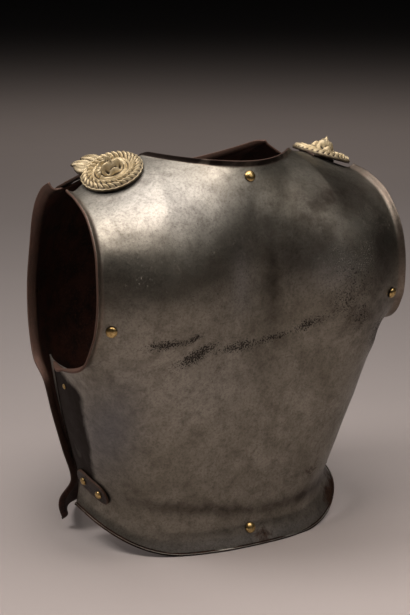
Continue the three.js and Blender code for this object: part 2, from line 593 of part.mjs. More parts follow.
// The origin is in the middle of the footprint, on the floor.
cuirass.position.y = ORIGIN_SHIFT;

export default cuirass;
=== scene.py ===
# %% [markdown]
# A cavalry cuirass, dressed as a lesson
# The armour is two forged steel plates joined over the shoulders by leather straps.
# A cast brass boss with a lion's mask sits on each shoulder, and domed brass rivets
# run round the plates. Its plain solids are already packed as a fixed frame. Here each
# of them gets its fine surface, worked out with numpy in the same place, and a material
# that is made of nodes.

# %% Load the frame
import math

import bmesh
import bpy
import numpy as np
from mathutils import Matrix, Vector


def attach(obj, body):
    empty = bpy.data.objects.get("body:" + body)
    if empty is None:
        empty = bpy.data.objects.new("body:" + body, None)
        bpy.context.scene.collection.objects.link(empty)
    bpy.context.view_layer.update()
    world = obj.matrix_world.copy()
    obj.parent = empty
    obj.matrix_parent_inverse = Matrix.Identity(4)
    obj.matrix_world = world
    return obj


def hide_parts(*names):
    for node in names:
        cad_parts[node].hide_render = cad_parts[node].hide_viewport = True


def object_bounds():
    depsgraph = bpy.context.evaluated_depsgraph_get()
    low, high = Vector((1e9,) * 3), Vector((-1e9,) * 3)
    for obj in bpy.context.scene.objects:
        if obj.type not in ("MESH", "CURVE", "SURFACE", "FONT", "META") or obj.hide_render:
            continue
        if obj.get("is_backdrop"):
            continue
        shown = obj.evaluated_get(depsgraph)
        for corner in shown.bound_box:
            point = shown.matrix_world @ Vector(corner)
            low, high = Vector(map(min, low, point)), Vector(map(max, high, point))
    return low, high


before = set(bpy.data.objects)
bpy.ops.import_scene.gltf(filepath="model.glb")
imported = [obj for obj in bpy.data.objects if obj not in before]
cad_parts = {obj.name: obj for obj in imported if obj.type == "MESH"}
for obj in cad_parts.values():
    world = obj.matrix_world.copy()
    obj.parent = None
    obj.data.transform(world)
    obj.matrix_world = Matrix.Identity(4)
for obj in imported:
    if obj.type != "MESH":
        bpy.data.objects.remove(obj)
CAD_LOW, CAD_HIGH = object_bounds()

MM = 0.001
print("size in mm", [round((high - low) / MM, 1) for low, high in zip(CAD_LOW, CAD_HIGH)])

# %% [markdown]
# Curves through a short table
# A plate that was hammered by eye has no single formula, but it does have a few heights
# at which its width and depth are known. A row for each of these levels, with a smooth
# curve through every column, gives the plate at any height. A subdivision cage could do
# the same, but then its sizes would be hidden in many points.

# %% Smooth steps and columns
def mix(a, b, share):
    """A value that goes from a to b as the share goes from 0 to 1."""
    return a + (b - a) * share


def smooth_step(value, start, end):
    """0 before the start, 1 after the end, and an easy S curve between them."""
    t = np.clip((value - start) / (end - start), 0, 1)
    return t * t * (3 - 2 * t)


def slanted(x, y, middle_x, middle_y, turn):
    """How far points lie along and beside a line through a middle, turned by so many radians."""
    x, y = x - middle_x, y - middle_y
    return x * math.cos(turn) + y * math.sin(turn), y * math.cos(turn) - x * math.sin(turn)


# Columns in millimetres: the seam or armhole edge, the spine, the neck corner, and how far the
# shoulder blades stand out. "flat" is the share of the shoulder's form, and "square" how square
# a round level is.
COLUMNS = ("edge_x", "edge_y", "edge_z", "mid_y", "mid_z", "corner_y", "corner_z", "flat", "square", "lobe")
BACK_LEVELS = np.array([
    (158, 8, 38, 122, 0, 90, 0, 0, 2.3, 0),
    (151, 6, 54, 117, 17, 90, 20, 0, 2.35, 0),
    (148, 5, 70, 114.5, 36, 90, 40, 0, 2.5, 0),
    (158, 9, 108, 122, 84, 95, 85, 0, 2.65, 2),
    (170, 14, 153, 131, 138, 100, 140, 0, 2.9, 4),
    (180, 18, 208, 137, 182, 110, 185, 0, 3.1, 7),
    (183, 64, 210, 140, 212, 130, 214, 0, 3.5, 10),
    (180, 113, 231, 143, 243, 146, 243, 0, 3.4, 14),
    (177, 133, 260, 145, 271, 148, 272, 0, 2.9, 17),
    (175, 140, 292, 145, 299, 148, 302, 0, 2.7, 19),
    (174, 138, 325, 143, 327, 144, 333, 0.1, 2.5, 17),
    (172, 129, 352, 139, 353, 134, 363, 0.3, 2.5, 13),
    (170, 107, 377, 133, 378, 114, 393, 0.6, 2.5, 8),
    (168, 76, 391, 125, 400, 84, 414, 0.88, 2.5, 3),
    (166, 50, 397, 116, 418, 53, 425, 1, 2.5, 0),
])
BREAST_LEVELS = np.array([
    (149, -30, 14, -120, 0, -90, 0, 0, 2.4, 0),
    (156, -20, 36, -114, 19, -90, 20, 0, 2.3, 0),
    (142, -18, 60, -112, 38, -90, 40, 0, 2.2, 0),
    (152, -19, 100, -124, 80, -95, 85, 0, 2.2, 0),
    (163, -20, 142, -140, 124, -100, 128, 0, 2.2, 0),
    (170, -22, 176, -152, 162, -118, 165, 0, 2.2, 0),
    (170, -45, 199, -160, 193, -130, 195, 0, 2.2, 0),
    (169, -57, 227, -164, 221, -136, 224, 0, 2.2, 0),
    (168, -62, 256, -166, 248, -138, 254, 0, 2.2, 0),
    (167, -62, 286, -164, 275, -136, 286, 0, 2.2, 0),
    (165, -58, 316, -159, 301, -128, 320, 0.1, 2.2, 0),
    (164, -50, 344, -151, 325, -112, 353, 0.3, 2.2, 0),
    (163, -38, 368, -140, 347, -83, 385, 0.6, 2.2, 0),
    (162, -24, 383, -127, 367, -43, 410, 0.88, 2.2, 0),
    (161, -10, 390, -114, 383, -1, 425, 1, 2.2, 0),
])
LAST_LEVEL = len(BACK_LEVELS) - 1
SEAM_LEVEL = 5
SEAM_TOP = SEAM_LEVEL / LAST_LEVEL


def columns_at(levels, v):
    """Every column at the heights v of 0 to 1: a cubic through the rows, whose slope at a row is
    half the step between its neighbours. The back plate's edge turns a corner at the top of the
    seam, so there the curve of its edge columns ends and starts again."""
    place = np.clip(v, 0, 1) * LAST_LEVEL
    row = np.minimum(place.astype(int), LAST_LEVEL - 1)
    t = (place - row)[..., None]
    above = (row >= SEAM_LEVEL)[..., None]
    is_edge = np.array([name.startswith("edge") for name in COLUMNS]) & (levels is BACK_LEVELS)
    lowest = np.where(is_edge & above, SEAM_LEVEL, 0)
    highest = np.where(is_edge & ~above, SEAM_LEVEL, LAST_LEVEL)

    def value(k):
        rows = np.clip(k[..., None], lowest, highest)
        return levels[rows, np.arange(len(COLUMNS))]

    start_slope = (value(row + 1) - value(row - 1)) / 2
    end_slope = (value(row + 2) - value(row)) / 2
    found = (
        (2 * t**3 - 3 * t**2 + 1) * value(row)
        + (t**3 - 2 * t**2 + t) * start_slope
        + (3 * t**2 - 2 * t**3) * value(row + 1)
        + (t**3 - t**2) * end_slope
    )
    return {name: found[..., k] for k, name in enumerate(COLUMNS)}


print("levels", len(BACK_LEVELS), "and", len(BREAST_LEVELS))

# %% [markdown]
# The body of a plate
# Below the armholes a plate is a bent half shell, so a level is a superellipse arc from
# the spine to the seam. Above them it flattens into the shoulders, where the neck cuts a
# corner. The formula draws both and blends from one to the other.

# %% A plate's outer face
# Starts and ends are values of u or v, and the rest are millimetres or powers.
CORNER = 0.55
FLAT_RIM, RIM_ARCH_END = 0.27, 1.05
RIM_ARCH, ARMHOLE_ARCH = 0.2, 0.36
SPINE_SHARPNESS = 1.2
SHOULDER_REACH, SHOULDER_RISE, SHOULDER_START = 14, 7, 0.85
NECK_LEAN, NECK_LEAN_START = 4, 0.7
RIM_SWAY, RIM_SWAY_END = 5, 0.15
BREAST_ROUNDNESS = 50
RIGHT_ARMHOLE_RISE = 9
ARMHOLE_FOOT_STARTS, ARMHOLE_FOOT_ENDS = (0.3, 0.42), (0.5, 0.65)
DEPTH_SHIFT = 1.9


def body_points(levels, u, v):
    """Points of a plate's outer face, with u from -1 at the right side to 1 at the left and v from
    0 at the waist rim to 1 at the neck. Round rows take their x and y from a superellipse arc, flat
    rows run from the shoulder's edge to the neck corner and down into the neck, and the column
    "flat" says how much of each. Two lobes, sines across each half, raise the shoulder blades."""
    u, v = np.broadcast_arrays(np.asarray(u, float), np.asarray(v, float))
    at = columns_at(levels, v)
    is_back = levels is BACK_LEVELS
    outwards = 1 if is_back else -1
    s = np.minimum(np.abs(u), 1)

    power = 2 / at["square"]
    roundness = 0 if is_back else BREAST_ROUNDNESS
    base = outwards * (np.minimum(outwards * at["edge_y"], outwards * levels[SEAM_LEVEL, 1]) - roundness)
    depth = at["mid_y"] - base
    end_angle = np.arccos(np.clip((at["edge_y"] - base) / depth, 0, 1) ** (1 / power))
    round_across = (np.sin(s * end_angle) / np.sin(end_angle)) ** power
    round_y = base + depth * np.maximum(np.cos(s * end_angle), 0) ** power

    inner = np.clip(s / CORNER, 0, 1)
    outer = np.clip((1 - s) / (1 - CORNER), 0, 1)
    flat_y = mix(at["edge_y"], at["corner_y"], smooth_step(outer, 0, 1))
    flat_z = mix(at["edge_z"], at["corner_z"], outer**1.5)
    if is_back:
        over_shoulder = np.sin(np.pi * outer) * smooth_step(v, SHOULDER_START, 1)
        flat_y = flat_y - SHOULDER_REACH * over_shoulder
        flat_z = flat_z + SHOULDER_RISE * over_shoulder
    in_neck = s < CORNER
    neck_y = mix(at["corner_y"], at["mid_y"], np.cos(inner * np.pi / 2) ** 0.9)
    neck_z = mix(at["mid_z"], at["corner_z"], inner**2)
    flat_y = np.where(in_neck, neck_y, flat_y)
    flat_z = np.where(in_neck, neck_z, flat_z)

    rim_arch = smooth_step(s, FLAT_RIM, RIM_ARCH_END) / smooth_step(1, FLAT_RIM, RIM_ARCH_END)
    arch = mix(rim_arch, s**4, smooth_step(v, RIM_ARCH, ARMHOLE_ARCH))
    round_z = mix(at["mid_z"], at["edge_z"], arch)
    lobe = at["lobe"] * np.sin(np.pi * s) ** SPINE_SHARPNESS

    x = np.sign(u) * at["edge_x"] * mix(round_across, s, at["flat"])
    y = mix(round_y, flat_y, at["flat"]) + outwards * lobe + DEPTH_SHIFT
    z = mix(round_z, flat_z, at["flat"])
    if is_back:
        x = x - RIM_SWAY * (1 - smooth_step(v, 0, RIM_SWAY_END))
        fade = np.where(in_neck, 1, CORNER / np.maximum(s, 0.001) * outer)
        z = z + NECK_LEAN * u / CORNER * smooth_step(v, NECK_LEAN_START, 1) * fade
        below_arm = smooth_step(v, *ARMHOLE_FOOT_STARTS) * (1 - smooth_step(v, *ARMHOLE_FOOT_ENDS))
        z = z + RIGHT_ARMHOLE_RISE * np.clip(-u, 0, 1) ** 4 * below_arm
    return np.stack([x, y, z], -1)


def unit(vectors):
    """Vectors of length 1 in the same directions."""
    return vectors / np.maximum(np.linalg.norm(vectors, axis=-1, keepdims=True), 1e-9)


def body_directions(levels, u, v, step=0.004):
    """At points of the outer face: the direction up along it, and the direction out of it, from
    small steps to each side."""
    u, v = np.broadcast_arrays(np.asarray(u, float), np.asarray(v, float))
    u_in = np.clip(u, -1 + step, 1 - step)
    across = body_points(levels, u_in + step, v) - body_points(levels, u_in - step, v)
    above = body_points(levels, u, np.minimum(v + step, 1))
    up = unit(above - body_points(levels, u, np.maximum(v - step, 0)))
    outwards = 1 if levels is BACK_LEVELS else -1
    return up, unit(np.cross(up, across)) * outwards


print("spine at half height", body_points(BACK_LEVELS, 0, 0.5).round(1))

# %% [markdown]
# Turned edges
# An armourer never leaves a raw edge at the neck or under the arms: the last few
# millimetres are turned outwards over a stake. Past its sides and its top the surface
# therefore runs on, first round a small arc and then straight.

# %% The flanges
NECK_FLANGE_WIDTH, NECK_FLANGE_TURN = 7, 0.75
BACK_FLANGE = {"armhole": 9.5, "seam": 1.2, "turn": 0.8, "corner_turn": 1.1}
BREAST_FLANGE = {"armhole": 11, "seam": 8.5, "turn": 1.3, "corner_turn": 1.3}
CORNER_BLEND, TURN_BLEND = 0.06, 0.2
NECK_BLEND = (CORNER - 0.04, CORNER + 0.03)
SHOULDER_EDGE_WIDTH = 0.8
ARC_SHARE, LEAST_TURN = 0.6, 0.01


def turned_edge(length, width, turn):
    """How far an edge has moved on and out after a length: an arc over six tenths of the width,
    which turns it by that many radians, and then a straight stretch."""
    radius = ARC_SHARE * width / turn
    arc = np.minimum(length, radius * turn)
    straight = length - arc
    angle = arc / radius
    on = radius * np.sin(angle) + straight * np.cos(angle)
    out = radius * (1 - np.cos(angle)) + straight * np.sin(angle)
    return on, out


def plate_points(levels, u, v):
    """The whole outer face of a plate. Past u of 1 and v of 1 it runs on into the turned edges."""
    u, v = np.broadcast_arrays(np.asarray(u, float), np.asarray(v, float))
    u_body = np.clip(u, -1, 1)
    v_body = np.clip(v, 0, 1)
    points = body_points(levels, u_body, v_body)
    up, out = body_directions(levels, u_body, v_body)
    is_back = levels is BACK_LEVELS
    handed = np.sign(u) * (-1 if is_back else 1)
    sideways = np.cross(up, out) * handed[..., None]

    flange = BACK_FLANGE if is_back else BREAST_FLANGE
    past_corner = smooth_step(v_body, SEAM_TOP, SEAM_TOP + CORNER_BLEND)
    side_width = mix(flange["seam"], flange["armhole"], past_corner)
    past_bend = smooth_step(v_body, SEAM_TOP, SEAM_TOP + TURN_BLEND)
    turn = mix(flange["corner_turn"], flange["turn"], past_bend)
    past_side = np.abs(u) - np.abs(u_body)
    on, outwards = turned_edge(past_side * side_width, side_width, turn)
    points = points + sideways * on[..., None] + out * outwards[..., None]

    in_neck = 1 - smooth_step(np.abs(u), *NECK_BLEND)
    top_width = mix(SHOULDER_EDGE_WIDTH, NECK_FLANGE_WIDTH, in_neck)
    past_top = np.maximum(v - 1, 0)
    turn = NECK_FLANGE_TURN * in_neck + LEAST_TURN
    on, outwards = turned_edge(past_top * top_width, top_width, turn)
    return points + up * on[..., None] + out * outwards[..., None]


print("armhole edge", plate_points(BACK_LEVELS, 2, 0.6).round(1))

# %% [markdown]
# From a grid of points to a mesh
# Every piece here is a grid, so one function makes them all: it joins each point to its
# neighbours in quads. A rivet's or a casting's grid goes once round, so it closes on itself.

# %% Grids become meshes
def grid_object(name, points, closed_across=False):
    """An object whose quads join a grid of points, rows by columns by three, in millimetres."""
    return joined_grids(name, [(points, closed_across)])


def joined_grids(name, grids):
    """One object of several grids of points, each with a word on whether it closes across."""
    corners, quads, count = [], [], 0
    for points, closed_across in grids:
        rows, columns = points.shape[:2]
        index = count + np.arange(rows * columns).reshape(rows, columns)
        if closed_across:
            index = np.concatenate([index, index[:, :1]], 1)
        around = (index[:-1, :-1], index[:-1, 1:], index[1:, 1:], index[1:, :-1])
        quads.append(np.stack(around, -1).reshape(-1, 4))
        corners.append(points.reshape(-1, 3))
        count += rows * columns
    mesh = bpy.data.meshes.new(name)
    mesh.from_pydata(np.concatenate(corners) * MM, [], np.concatenate(quads).tolist())
    mesh.shade_smooth()
    made = bpy.data.objects.new(name, mesh)
    bpy.context.scene.collection.objects.link(made)
    return made


def store(piece, name, values):
    """Keeps one number for each point of a piece, for its material to read."""
    attribute = piece.data.attributes.new(name, "FLOAT", "POINT")
    attribute.data.foreach_set("value", np.ascontiguousarray(values, np.float32).ravel())


def weld(piece, distance):
    """Merges points closer than so many millimetres, as at a pole, and turns all faces outwards."""
    made = bmesh.new()
    made.from_mesh(piece.data)
    bmesh.ops.remove_doubles(made, verts=made.verts, dist=distance * MM)
    bmesh.ops.recalc_face_normals(made, faces=made.faces)
    made.to_mesh(piece.data)
    made.free()


def finish_piece(piece, slot, materials, *nodes):
    """Gives a piece its materials and its body, and lets it stand for its solids. The slot is not used."""
    for material in materials:
        piece.data.materials.append(material)
    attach(piece, "root")
    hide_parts(*nodes)
    faces = sum(len(polygon.vertices) - 2 for polygon in piece.data.polygons)
    print(piece.name, "triangles before modifiers", faces)
    return piece


# %% [markdown]
# Nodes, one at a time
# A material here is a tree of nodes. One small function adds a node with its settings and
# links, so that each line of a material reads as one step of the finish.

# %% Material helpers
def colour(code):
    """A linear colour from an sRGB hex code such as "8a8580"."""
    parts = np.array([int(code[k : k + 2], 16) for k in (0, 2, 4)]) / 255
    linear = np.where(parts <= 0.04045, parts / 12.92, ((parts + 0.055) / 1.055) ** 2.4)
    return (*linear.tolist(), 1)


def fill_inputs(material, node, inputs):
    """Links each value that is a socket to the node's input of that name, and sets any other."""
    for key, value in inputs.items():
        if isinstance(value, bpy.types.NodeSocket):
            material.node_tree.links.new(value, node.inputs[key])
        else:
            node.inputs[key].default_value = value


def add_node(material, kind, inputs=None, **settings):
    """Adds a node with its settings, and fills its inputs."""
    node = material.node_tree.nodes.new(kind)
    for name, value in settings.items():
        setattr(node, name, value)
    fill_inputs(material, node, inputs or {})
    return node


def new_material(name):
    """An empty node material with its output, the place on the piece, and its shader."""
    material = bpy.data.materials.new(name)
    material.use_nodes = True
    material.node_tree.nodes.clear()
    place = add_node(material, "ShaderNodeTexCoord").outputs["Object"]
    shader = add_node(material, "ShaderNodeBsdfPrincipled")
    add_node(material, "ShaderNodeOutputMaterial", {"Surface": shader.outputs["BSDF"]})
    return material, place, shader


def noise(material, place, size_mm, detail=4, rough=0.55, distortion=0.0):
    """Noise whose patches are about the given size across."""
    shape = {"Detail": detail, "Roughness": rough, "Distortion": distortion}
    inputs = {"Vector": place, "Scale": 1 / (size_mm * MM), **shape}
    return add_node(material, "ShaderNodeTexNoise", inputs).outputs["Fac"]


def remap(material, value, low, high, to_low=0.0, to_high=1.0):
    """Spreads a value's range from low to high over a new range, and stops at its ends."""
    ends = {"From Min": low, "From Max": high, "To Min": to_low, "To Max": to_high}
    return add_node(material, "ShaderNodeMapRange", {"Value": value, **ends}).outputs["Result"]


def maths(material, operation, first, second):
    """One sum of two values."""
    return add_node(material, "ShaderNodeMath", {0: first, 1: second}, operation=operation).outputs[0]


def blend_colour(material, share, first, second):
    """A colour between two, each of them a socket or an sRGB code."""
    first, second = (colour(end) if isinstance(end, str) else end for end in (first, second))
    inputs = {0: share, 6: first, 7: second}
    return add_node(material, "ShaderNodeMix", inputs, data_type="RGBA").outputs[2]


def layered(material, base, layers):
    """Lays one finish after another over the base. A layer is its cover, from 0 to 1, and its colour."""
    for cover, finish in layers:
        base = blend_colour(material, cover, base, finish)
    return base


def painted(material, name):
    """The number that a piece keeps at each point under this name."""
    return add_node(material, "ShaderNodeAttribute", attribute_name=name).outputs["Fac"]


def broken_up(material, name, operation, spots, *ranges):
    """A painted number, broken up by noise that is added to it or multiplied with it."""
    return maths(material, operation, painted(material, name), remap(material, spots, *ranges))


def bump(material, height, distance_mm, below=None, strength=1.0):
    """Turns a height into slopes of the surface, on top of the slopes below it."""
    inputs = {"Height": height, "Distance": distance_mm * MM, "Strength": strength}
    if below is not None:
        inputs["Normal"] = below
    return add_node(material, "ShaderNodeBump", inputs).outputs["Normal"]


print("helpers ready")

# %% [markdown]
# Forged steel
# Old forged steel that was once polished is a metal with a thin brown-grey skin of oxide.
# It still mirrors the room, but softly and unevenly: large clouds of patina, small spots
# where rust has eaten in, and warmer metal on the turned edges. A picture wrapped round the
# plate would stretch where it turns, so noise at four real sizes does the work, and numbers
# painted on the mesh say where pits, rust and stains gather. The same numbers also paint light
# and shade: lighter patches for highlights and reflections, darker stains where the plate turns
# from the lamps, and grime with painted shade along the seams and the neck edge.

# %% Forged steel
def forged_steel():
    """Forged and once polished steel: a soft broken mirror, brown-grey, with pits that look matt."""
    material, place, shader = new_material("forged_steel")
    clouds = noise(material, place, 60, detail=6, rough=0.62, distortion=0.8)
    blotches = noise(material, place, 15, detail=8, rough=0.7, distortion=0.4)
    grain = noise(material, place, 2.6, detail=6, rough=0.78)
    # Real pits are about half a millimetre wide. These are drawn three times as coarse to show.
    specks = noise(material, place, 1.7, detail=4, rough=0.65)

    # Painted light: lighter patches where the plate would show a lamp's highlight or the floor's
    # reflection.
    painted_light = broken_up(material, "painted_light", "MULTIPLY", blotches, 0.3, 0.6, 0.4, 1.0)
    # Stains and painted shade: darker patches where the plate turns away from the lamps and along the waist
    # rim.
    stain_and_shade = broken_up(material, "stain_and_shade", "MULTIPLY", blotches, 0.25, 0.6, 0.55, 1.0)
    turned = broken_up(material, "turned", "MULTIPLY", blotches, 0.3, 0.6, 0.5, 0.9)
    pit_level = remap(material, painted(material, "pitting"), 0, 1, 0.68, 0.42)
    pit = remap(material, maths(material, "SUBTRACT", specks, pit_level), 0, 0.05)
    rust = broken_up(material, "rust", "ADD", blotches, 0.3, 0.7, -0.45, 0.25)
    rust = remap(material, rust, 0.3, 0.75)
    # Grime and painted shade: darker in a strip beside each seam and on the back plate's neck edge.
    grime_and_shade = broken_up(material, "grime_and_shade", "ADD", clouds, 0.35, 0.65, -0.35, 0.3)
    grime_and_shade = remap(material, grime_and_shade, 0.25, 0.75)

    patina = blend_colour(material, remap(material, clouds, 0.36, 0.66), "7b766b", "989388")
    metal = layered(material, patina, (
        (painted_light, "b9b6b1"),
        (remap(material, blotches, 0.46, 0.7, 0, 0.6), "5a5349"),
        (remap(material, grain, 0.46, 0.7, 0, 0.6), "48413a"),
        (maths(material, "MULTIPLY", painted(material, "blued"), 0.55), "62656f"),
        (stain_and_shade, "332b26"),
        (turned, "7a665b"),
        (maths(material, "MULTIPLY", pit, 0.88), "221914"),
        (rust, blend_colour(material, remap(material, grain, 0.4, 0.65), "2b1c14", "5a3e2d")),
        (grime_and_shade, "1d120b"),
    ))

    matt = maths(material, "MAXIMUM", rust, grime_and_shade)
    matt = maths(material, "MAXIMUM", matt, maths(material, "MULTIPLY", pit, 0.6))
    roughness = remap(material, blotches, 0.3, 0.7, 0.34, 0.48)
    roughness = maths(material, "ADD", roughness, maths(material, "MULTIPLY", matt, 0.3))
    roughness = maths(material, "ADD", roughness, maths(material, "MULTIPLY", stain_and_shade, 0.08))
    hammered = bump(material, noise(material, place, 24, detail=2), 0.3)
    etched = bump(material, grain, 0.16, hammered)
    fill_inputs(material, shader, {
        "Base Color": metal,
        "Roughness": roughness,
        "Metallic": remap(material, matt, 0, 1, 1.0, 0.75),
        "Normal": bump(material, maths(material, "SUBTRACT", 1.0, pit), 0.22, etched, 0.8),
    })
    return material


def rusted_steel():
    """The inside of the plates, never polished: a dark brown, matt crust of old rust and grease,
    rubbed to a warm dull metal where the edges turn over."""
    material, place, shader = new_material("rusted_steel")
    clouds = noise(material, place, 22, detail=8, rough=0.7, distortion=0.5)
    grain = noise(material, place, 3, detail=6, rough=0.75)
    crust = blend_colour(material, remap(material, clouds, 0.38, 0.62), "1c110c", "46261a")
    crust = layered(material, crust, (
        (remap(material, grain, 0.52, 0.7, 0, 0.8), "64402e"),
        (maths(material, "MULTIPLY", painted(material, "turned"), 0.9), "7d6255"),
        # Grime and painted shade along the seams and the neck edge, as on the outside.
        (painted(material, "grime_and_shade"), "38241a"),
    ))
    normal = bump(material, grain, 0.4)
    looks = {"Base Color": crust, "Roughness": 0.62, "Metallic": 0.5, "Normal": normal}
    fill_inputs(material, shader, looks)
    return material


FORGED_STEEL = forged_steel()
RUSTED_STEEL = rusted_steel()
print("steel nodes", len(FORGED_STEEL.node_tree.nodes))

# %% [markdown]
# Brass and leather
# The rivets are turned brass, worn bright on top, and dark round their foot with dirt and painted shade.
# The bosses are cast brass that has lost its gilding, pale, with dirt and painted shade in their hollows.
# Dirt and a chalky bloom hide part of the metal there, so they mirror only half as much.
# The straps are thick old leather, nearly black, with a rubbed brown edge.

# %% Brass and leather
def worn_brass():
    """Turned brass: warm yellow metal, smooth, with tarnish and painted shade round its foot."""
    material, place, shader = new_material("worn_brass")
    spots = noise(material, place, 2.2, detail=5, rough=0.65)
    metal = blend_colour(material, remap(material, spots, 0.4, 0.7), "cdb27a", "96784a")
    # Dirt and painted shade: the stored number darkens the rivet towards its foot.
    metal = blend_colour(material, painted(material, "dirt_and_shade"), metal, "3a2413")
    roughness, normal = remap(material, spots, 0.35, 0.7, 0.24, 0.45), bump(material, spots, 0.05)
    looks = {"Base Color": metal, "Roughness": roughness, "Metallic": 1.0, "Normal": normal}
    fill_inputs(material, shader, looks)
    return material


def cast_brass():
    """Cast brass: pale, dull and grainy, with dirt and painted shade in its hollows, dark between the
    leaves.
    """
    material, place, shader = new_material("cast_brass")
    clouds = noise(material, place, 9, detail=5, rough=0.6)
    grain = noise(material, place, 1.1, detail=4, rough=0.65)
    metal = blend_colour(material, remap(material, clouds, 0.35, 0.7), "dac9a6", "b8a47d")
    metal = blend_colour(material, remap(material, grain, 0.5, 0.75, 0, 0.5), metal, "86734f")
    # Dirt and painted shade: darker in the hollows of the relief, at the edge and underneath.
    metal = blend_colour(material, painted(material, "dirt_and_shade"), metal, "2c2016")
    roughness, normal = remap(material, grain, 0.3, 0.7, 0.42, 0.58), bump(material, grain, 0.12)
    looks = {"Base Color": metal, "Roughness": roughness, "Metallic": 0.5, "Normal": normal}
    fill_inputs(material, shader, looks)
    return material


def old_leather():
    """Thick harness leather: matt, almost black, with a fine cracked grain and a rubbed edge."""
    material, place, shader = new_material("old_leather")
    grain = noise(material, place, 1.8, detail=6, rough=0.7)
    clouds = noise(material, place, 12, detail=4)
    hide = blend_colour(material, remap(material, clouds, 0.35, 0.7), "1c130e", "33241a")
    hide = blend_colour(material, painted(material, "edge"), hide, "4a3020")
    cells = {"Vector": place, "Scale": 1 / (1.6 * MM)}
    voronoi = add_node(material, "ShaderNodeTexVoronoi", cells, feature="DISTANCE_TO_EDGE")
    cracks = bump(material, remap(material, voronoi.outputs["Distance"], 0, 0.12), 0.12)
    roughness, normal = remap(material, grain, 0.3, 0.7, 0.42, 0.7), bump(material, grain, 0.1, cracks)
    fill_inputs(material, shader, {"Base Color": hide, "Roughness": roughness, "Normal": normal})
    return material


WORN_BRASS = worn_brass()
CAST_BRASS = cast_brass()
OLD_LEATHER = old_leather()
print("materials", len(bpy.data.materials))

# %% [markdown]
# Wear, painted light and painted shade that the mesh remembers
# The stains of a real plate lie where it was held, scraped and left damp. Here the light
# patches are painted light, where the plate would mirror a lamp or the floor, and the dark
# stains are partly painted shade, where it turns away from the lamps. A short table with a row
# for each patch gives its middle, its size and its slant on the plate as seen from behind.
# Every patch is a soft ellipse, and where two of one kind meet, the stronger one counts.

# %% Patches of wear
def soft_patches(x, z, table):
    """A number for each point: for each row, the bell curve of its distance to a slanted ellipse,
    times the row's strength. The largest of them counts, up to 1."""
    total = np.zeros_like(x)
    for middle_x, middle_z, half_length, half_width, slant, strength in table:
        along, beside = slanted(x, z, middle_x, middle_z, math.radians(slant))
        patch = np.exp(-((along / half_length) ** 2) - (beside / half_width) ** 2)
        total = np.maximum(total, strength * patch)
    return np.clip(total, 0, 1)


def waves(points, wavelength, seed, count=28):
    """Gentle uneven swells, mostly between -1 and 1: sines of many directions, summed."""
    random = np.random.default_rng(seed)
    directions = unit(random.normal(size=(count, 3))) * (2 * np.pi / wavelength)
    directions = directions * random.uniform(0.6, 1.5, (count, 1))
    turns = points @ directions.T + random.uniform(0, 2 * np.pi, count)
    return np.sin(turns).sum(-1) / math.sqrt(count)


# Columns: middle x and z, half length and half width in millimetres, slant in degrees, strength.
BACK_WEAR = {
    "pitting": (
        (113, 252, 26, 7, 0, 1.0),
        (84, 254, 16, 6, -20, 0.9),
        (77, 235, 28, 9, -22, 1.15),
        (24, 237, 38, 7, -3, 0.95),
        (-20, 242, 20, 5, -8, 0.9),
        (-56, 252, 26, 7, -20, 0.9),
        (-96, 276, 22, 22, 0, 0.65),
        (-118, 257, 20, 22, 0, 0.65),
        (-158, 226, 18, 26, 0, 0.9),
        (-110, 310, 45, 50, 0, 0.65),
        (-140, 370, 30, 50, 0, 0.5),
        (60, 330, 90, 60, 0, 0.3),
    ),
    # Stains and painted shade, darker where the plate turns away from the lamps.
    "stain_and_shade": (
        (-14, 318, 8, 56, 0, 0.75),
        (-36, 332, 21, 32, 0, 0.7),
        (-105, 382, 75, 22, 0, 0.9),
        (-60, 352, 45, 30, 0, 0.7),
        (-130, 260, 45, 40, 0, 0.5),
        (50, 50, 85, 8, 10, 0.8),
        (-80, 42, 80, 8, -4, 0.8),
        (-150, 330, 20, 60, 0, 0.7),
    ),
    # Painted light: highlights and the floor's reflection in the waist rim, painted lighter.
    "painted_light": (
        (-79, 309, 32, 22, 0, 0.6),
        (25, 309, 14, 34, 0, 0.7),
        (100, 392, 70, 30, 0, 0.7),
        (60, 200, 60, 40, 0, 0.2),
        (0, 8, 150, 9, 0, 0.9),
    ),
    "rust": (
        (-140, 24, 26, 18, 0, 1.0),
        (-85, 73, 14, 12, 0, 0.5),
        (-21, 9, 20, 10, 0, 0.8),
    ),
    "blued": (
        (153, 150, 24, 60, 0, 0.9),
        (-165, 140, 22, 80, 0, 0.8),
    ),
}
BREAST_WEAR = {
    "pitting": ((0, 200, 120, 60, 0, 0.4),),
    "stain_and_shade": ((-60, 330, 60, 40, 0, 0.5), (0, 40, 150, 10, 0, 0.6)),
    "painted_light": ((0, 300, 40, 60, 0, 0.4),),
    "rust": ((0, 12, 160, 10, 0, 0.6),),
    "blued": ((120, 120, 30, 60, 0, 0.6),),
}
print("patches", sum(len(table) for table in (*BACK_WEAR.values(), *BREAST_WEAR.values())))

# %% [markdown]
# The two plates
# The grid follows the same two numbers as the solids, only far finer. Small swells keep the
# hammered look that an exact formula lacks, and a thin roll follows the waist rim. A Solidify
# modifier then gives the sheet its thickness inwards, and puts the rusted finish on the inside.

# %% The plates
PLATE_THICKNESS = 2.4
ACROSS_STEPS, UP_STEPS, FLANGE_STEPS = 200, 190, 7
RIM_ROLL_V, RIM_ROLL_HEIGHT = 0.0045, 0.9
RIM_ROLL_VALUES = RIM_ROLL_V * np.linspace(0.15, 1.9, 8)
RIM_LIFT, RIM_LIFT_V = 1.45, 0.02
SWELL_EDGE_U, SWELL_EDGE_V = 0.06, 0.03
# Columns: wavelength and height of a swell in millimetres.
SWELLS = ((90, 0.45), (34, 0.16))

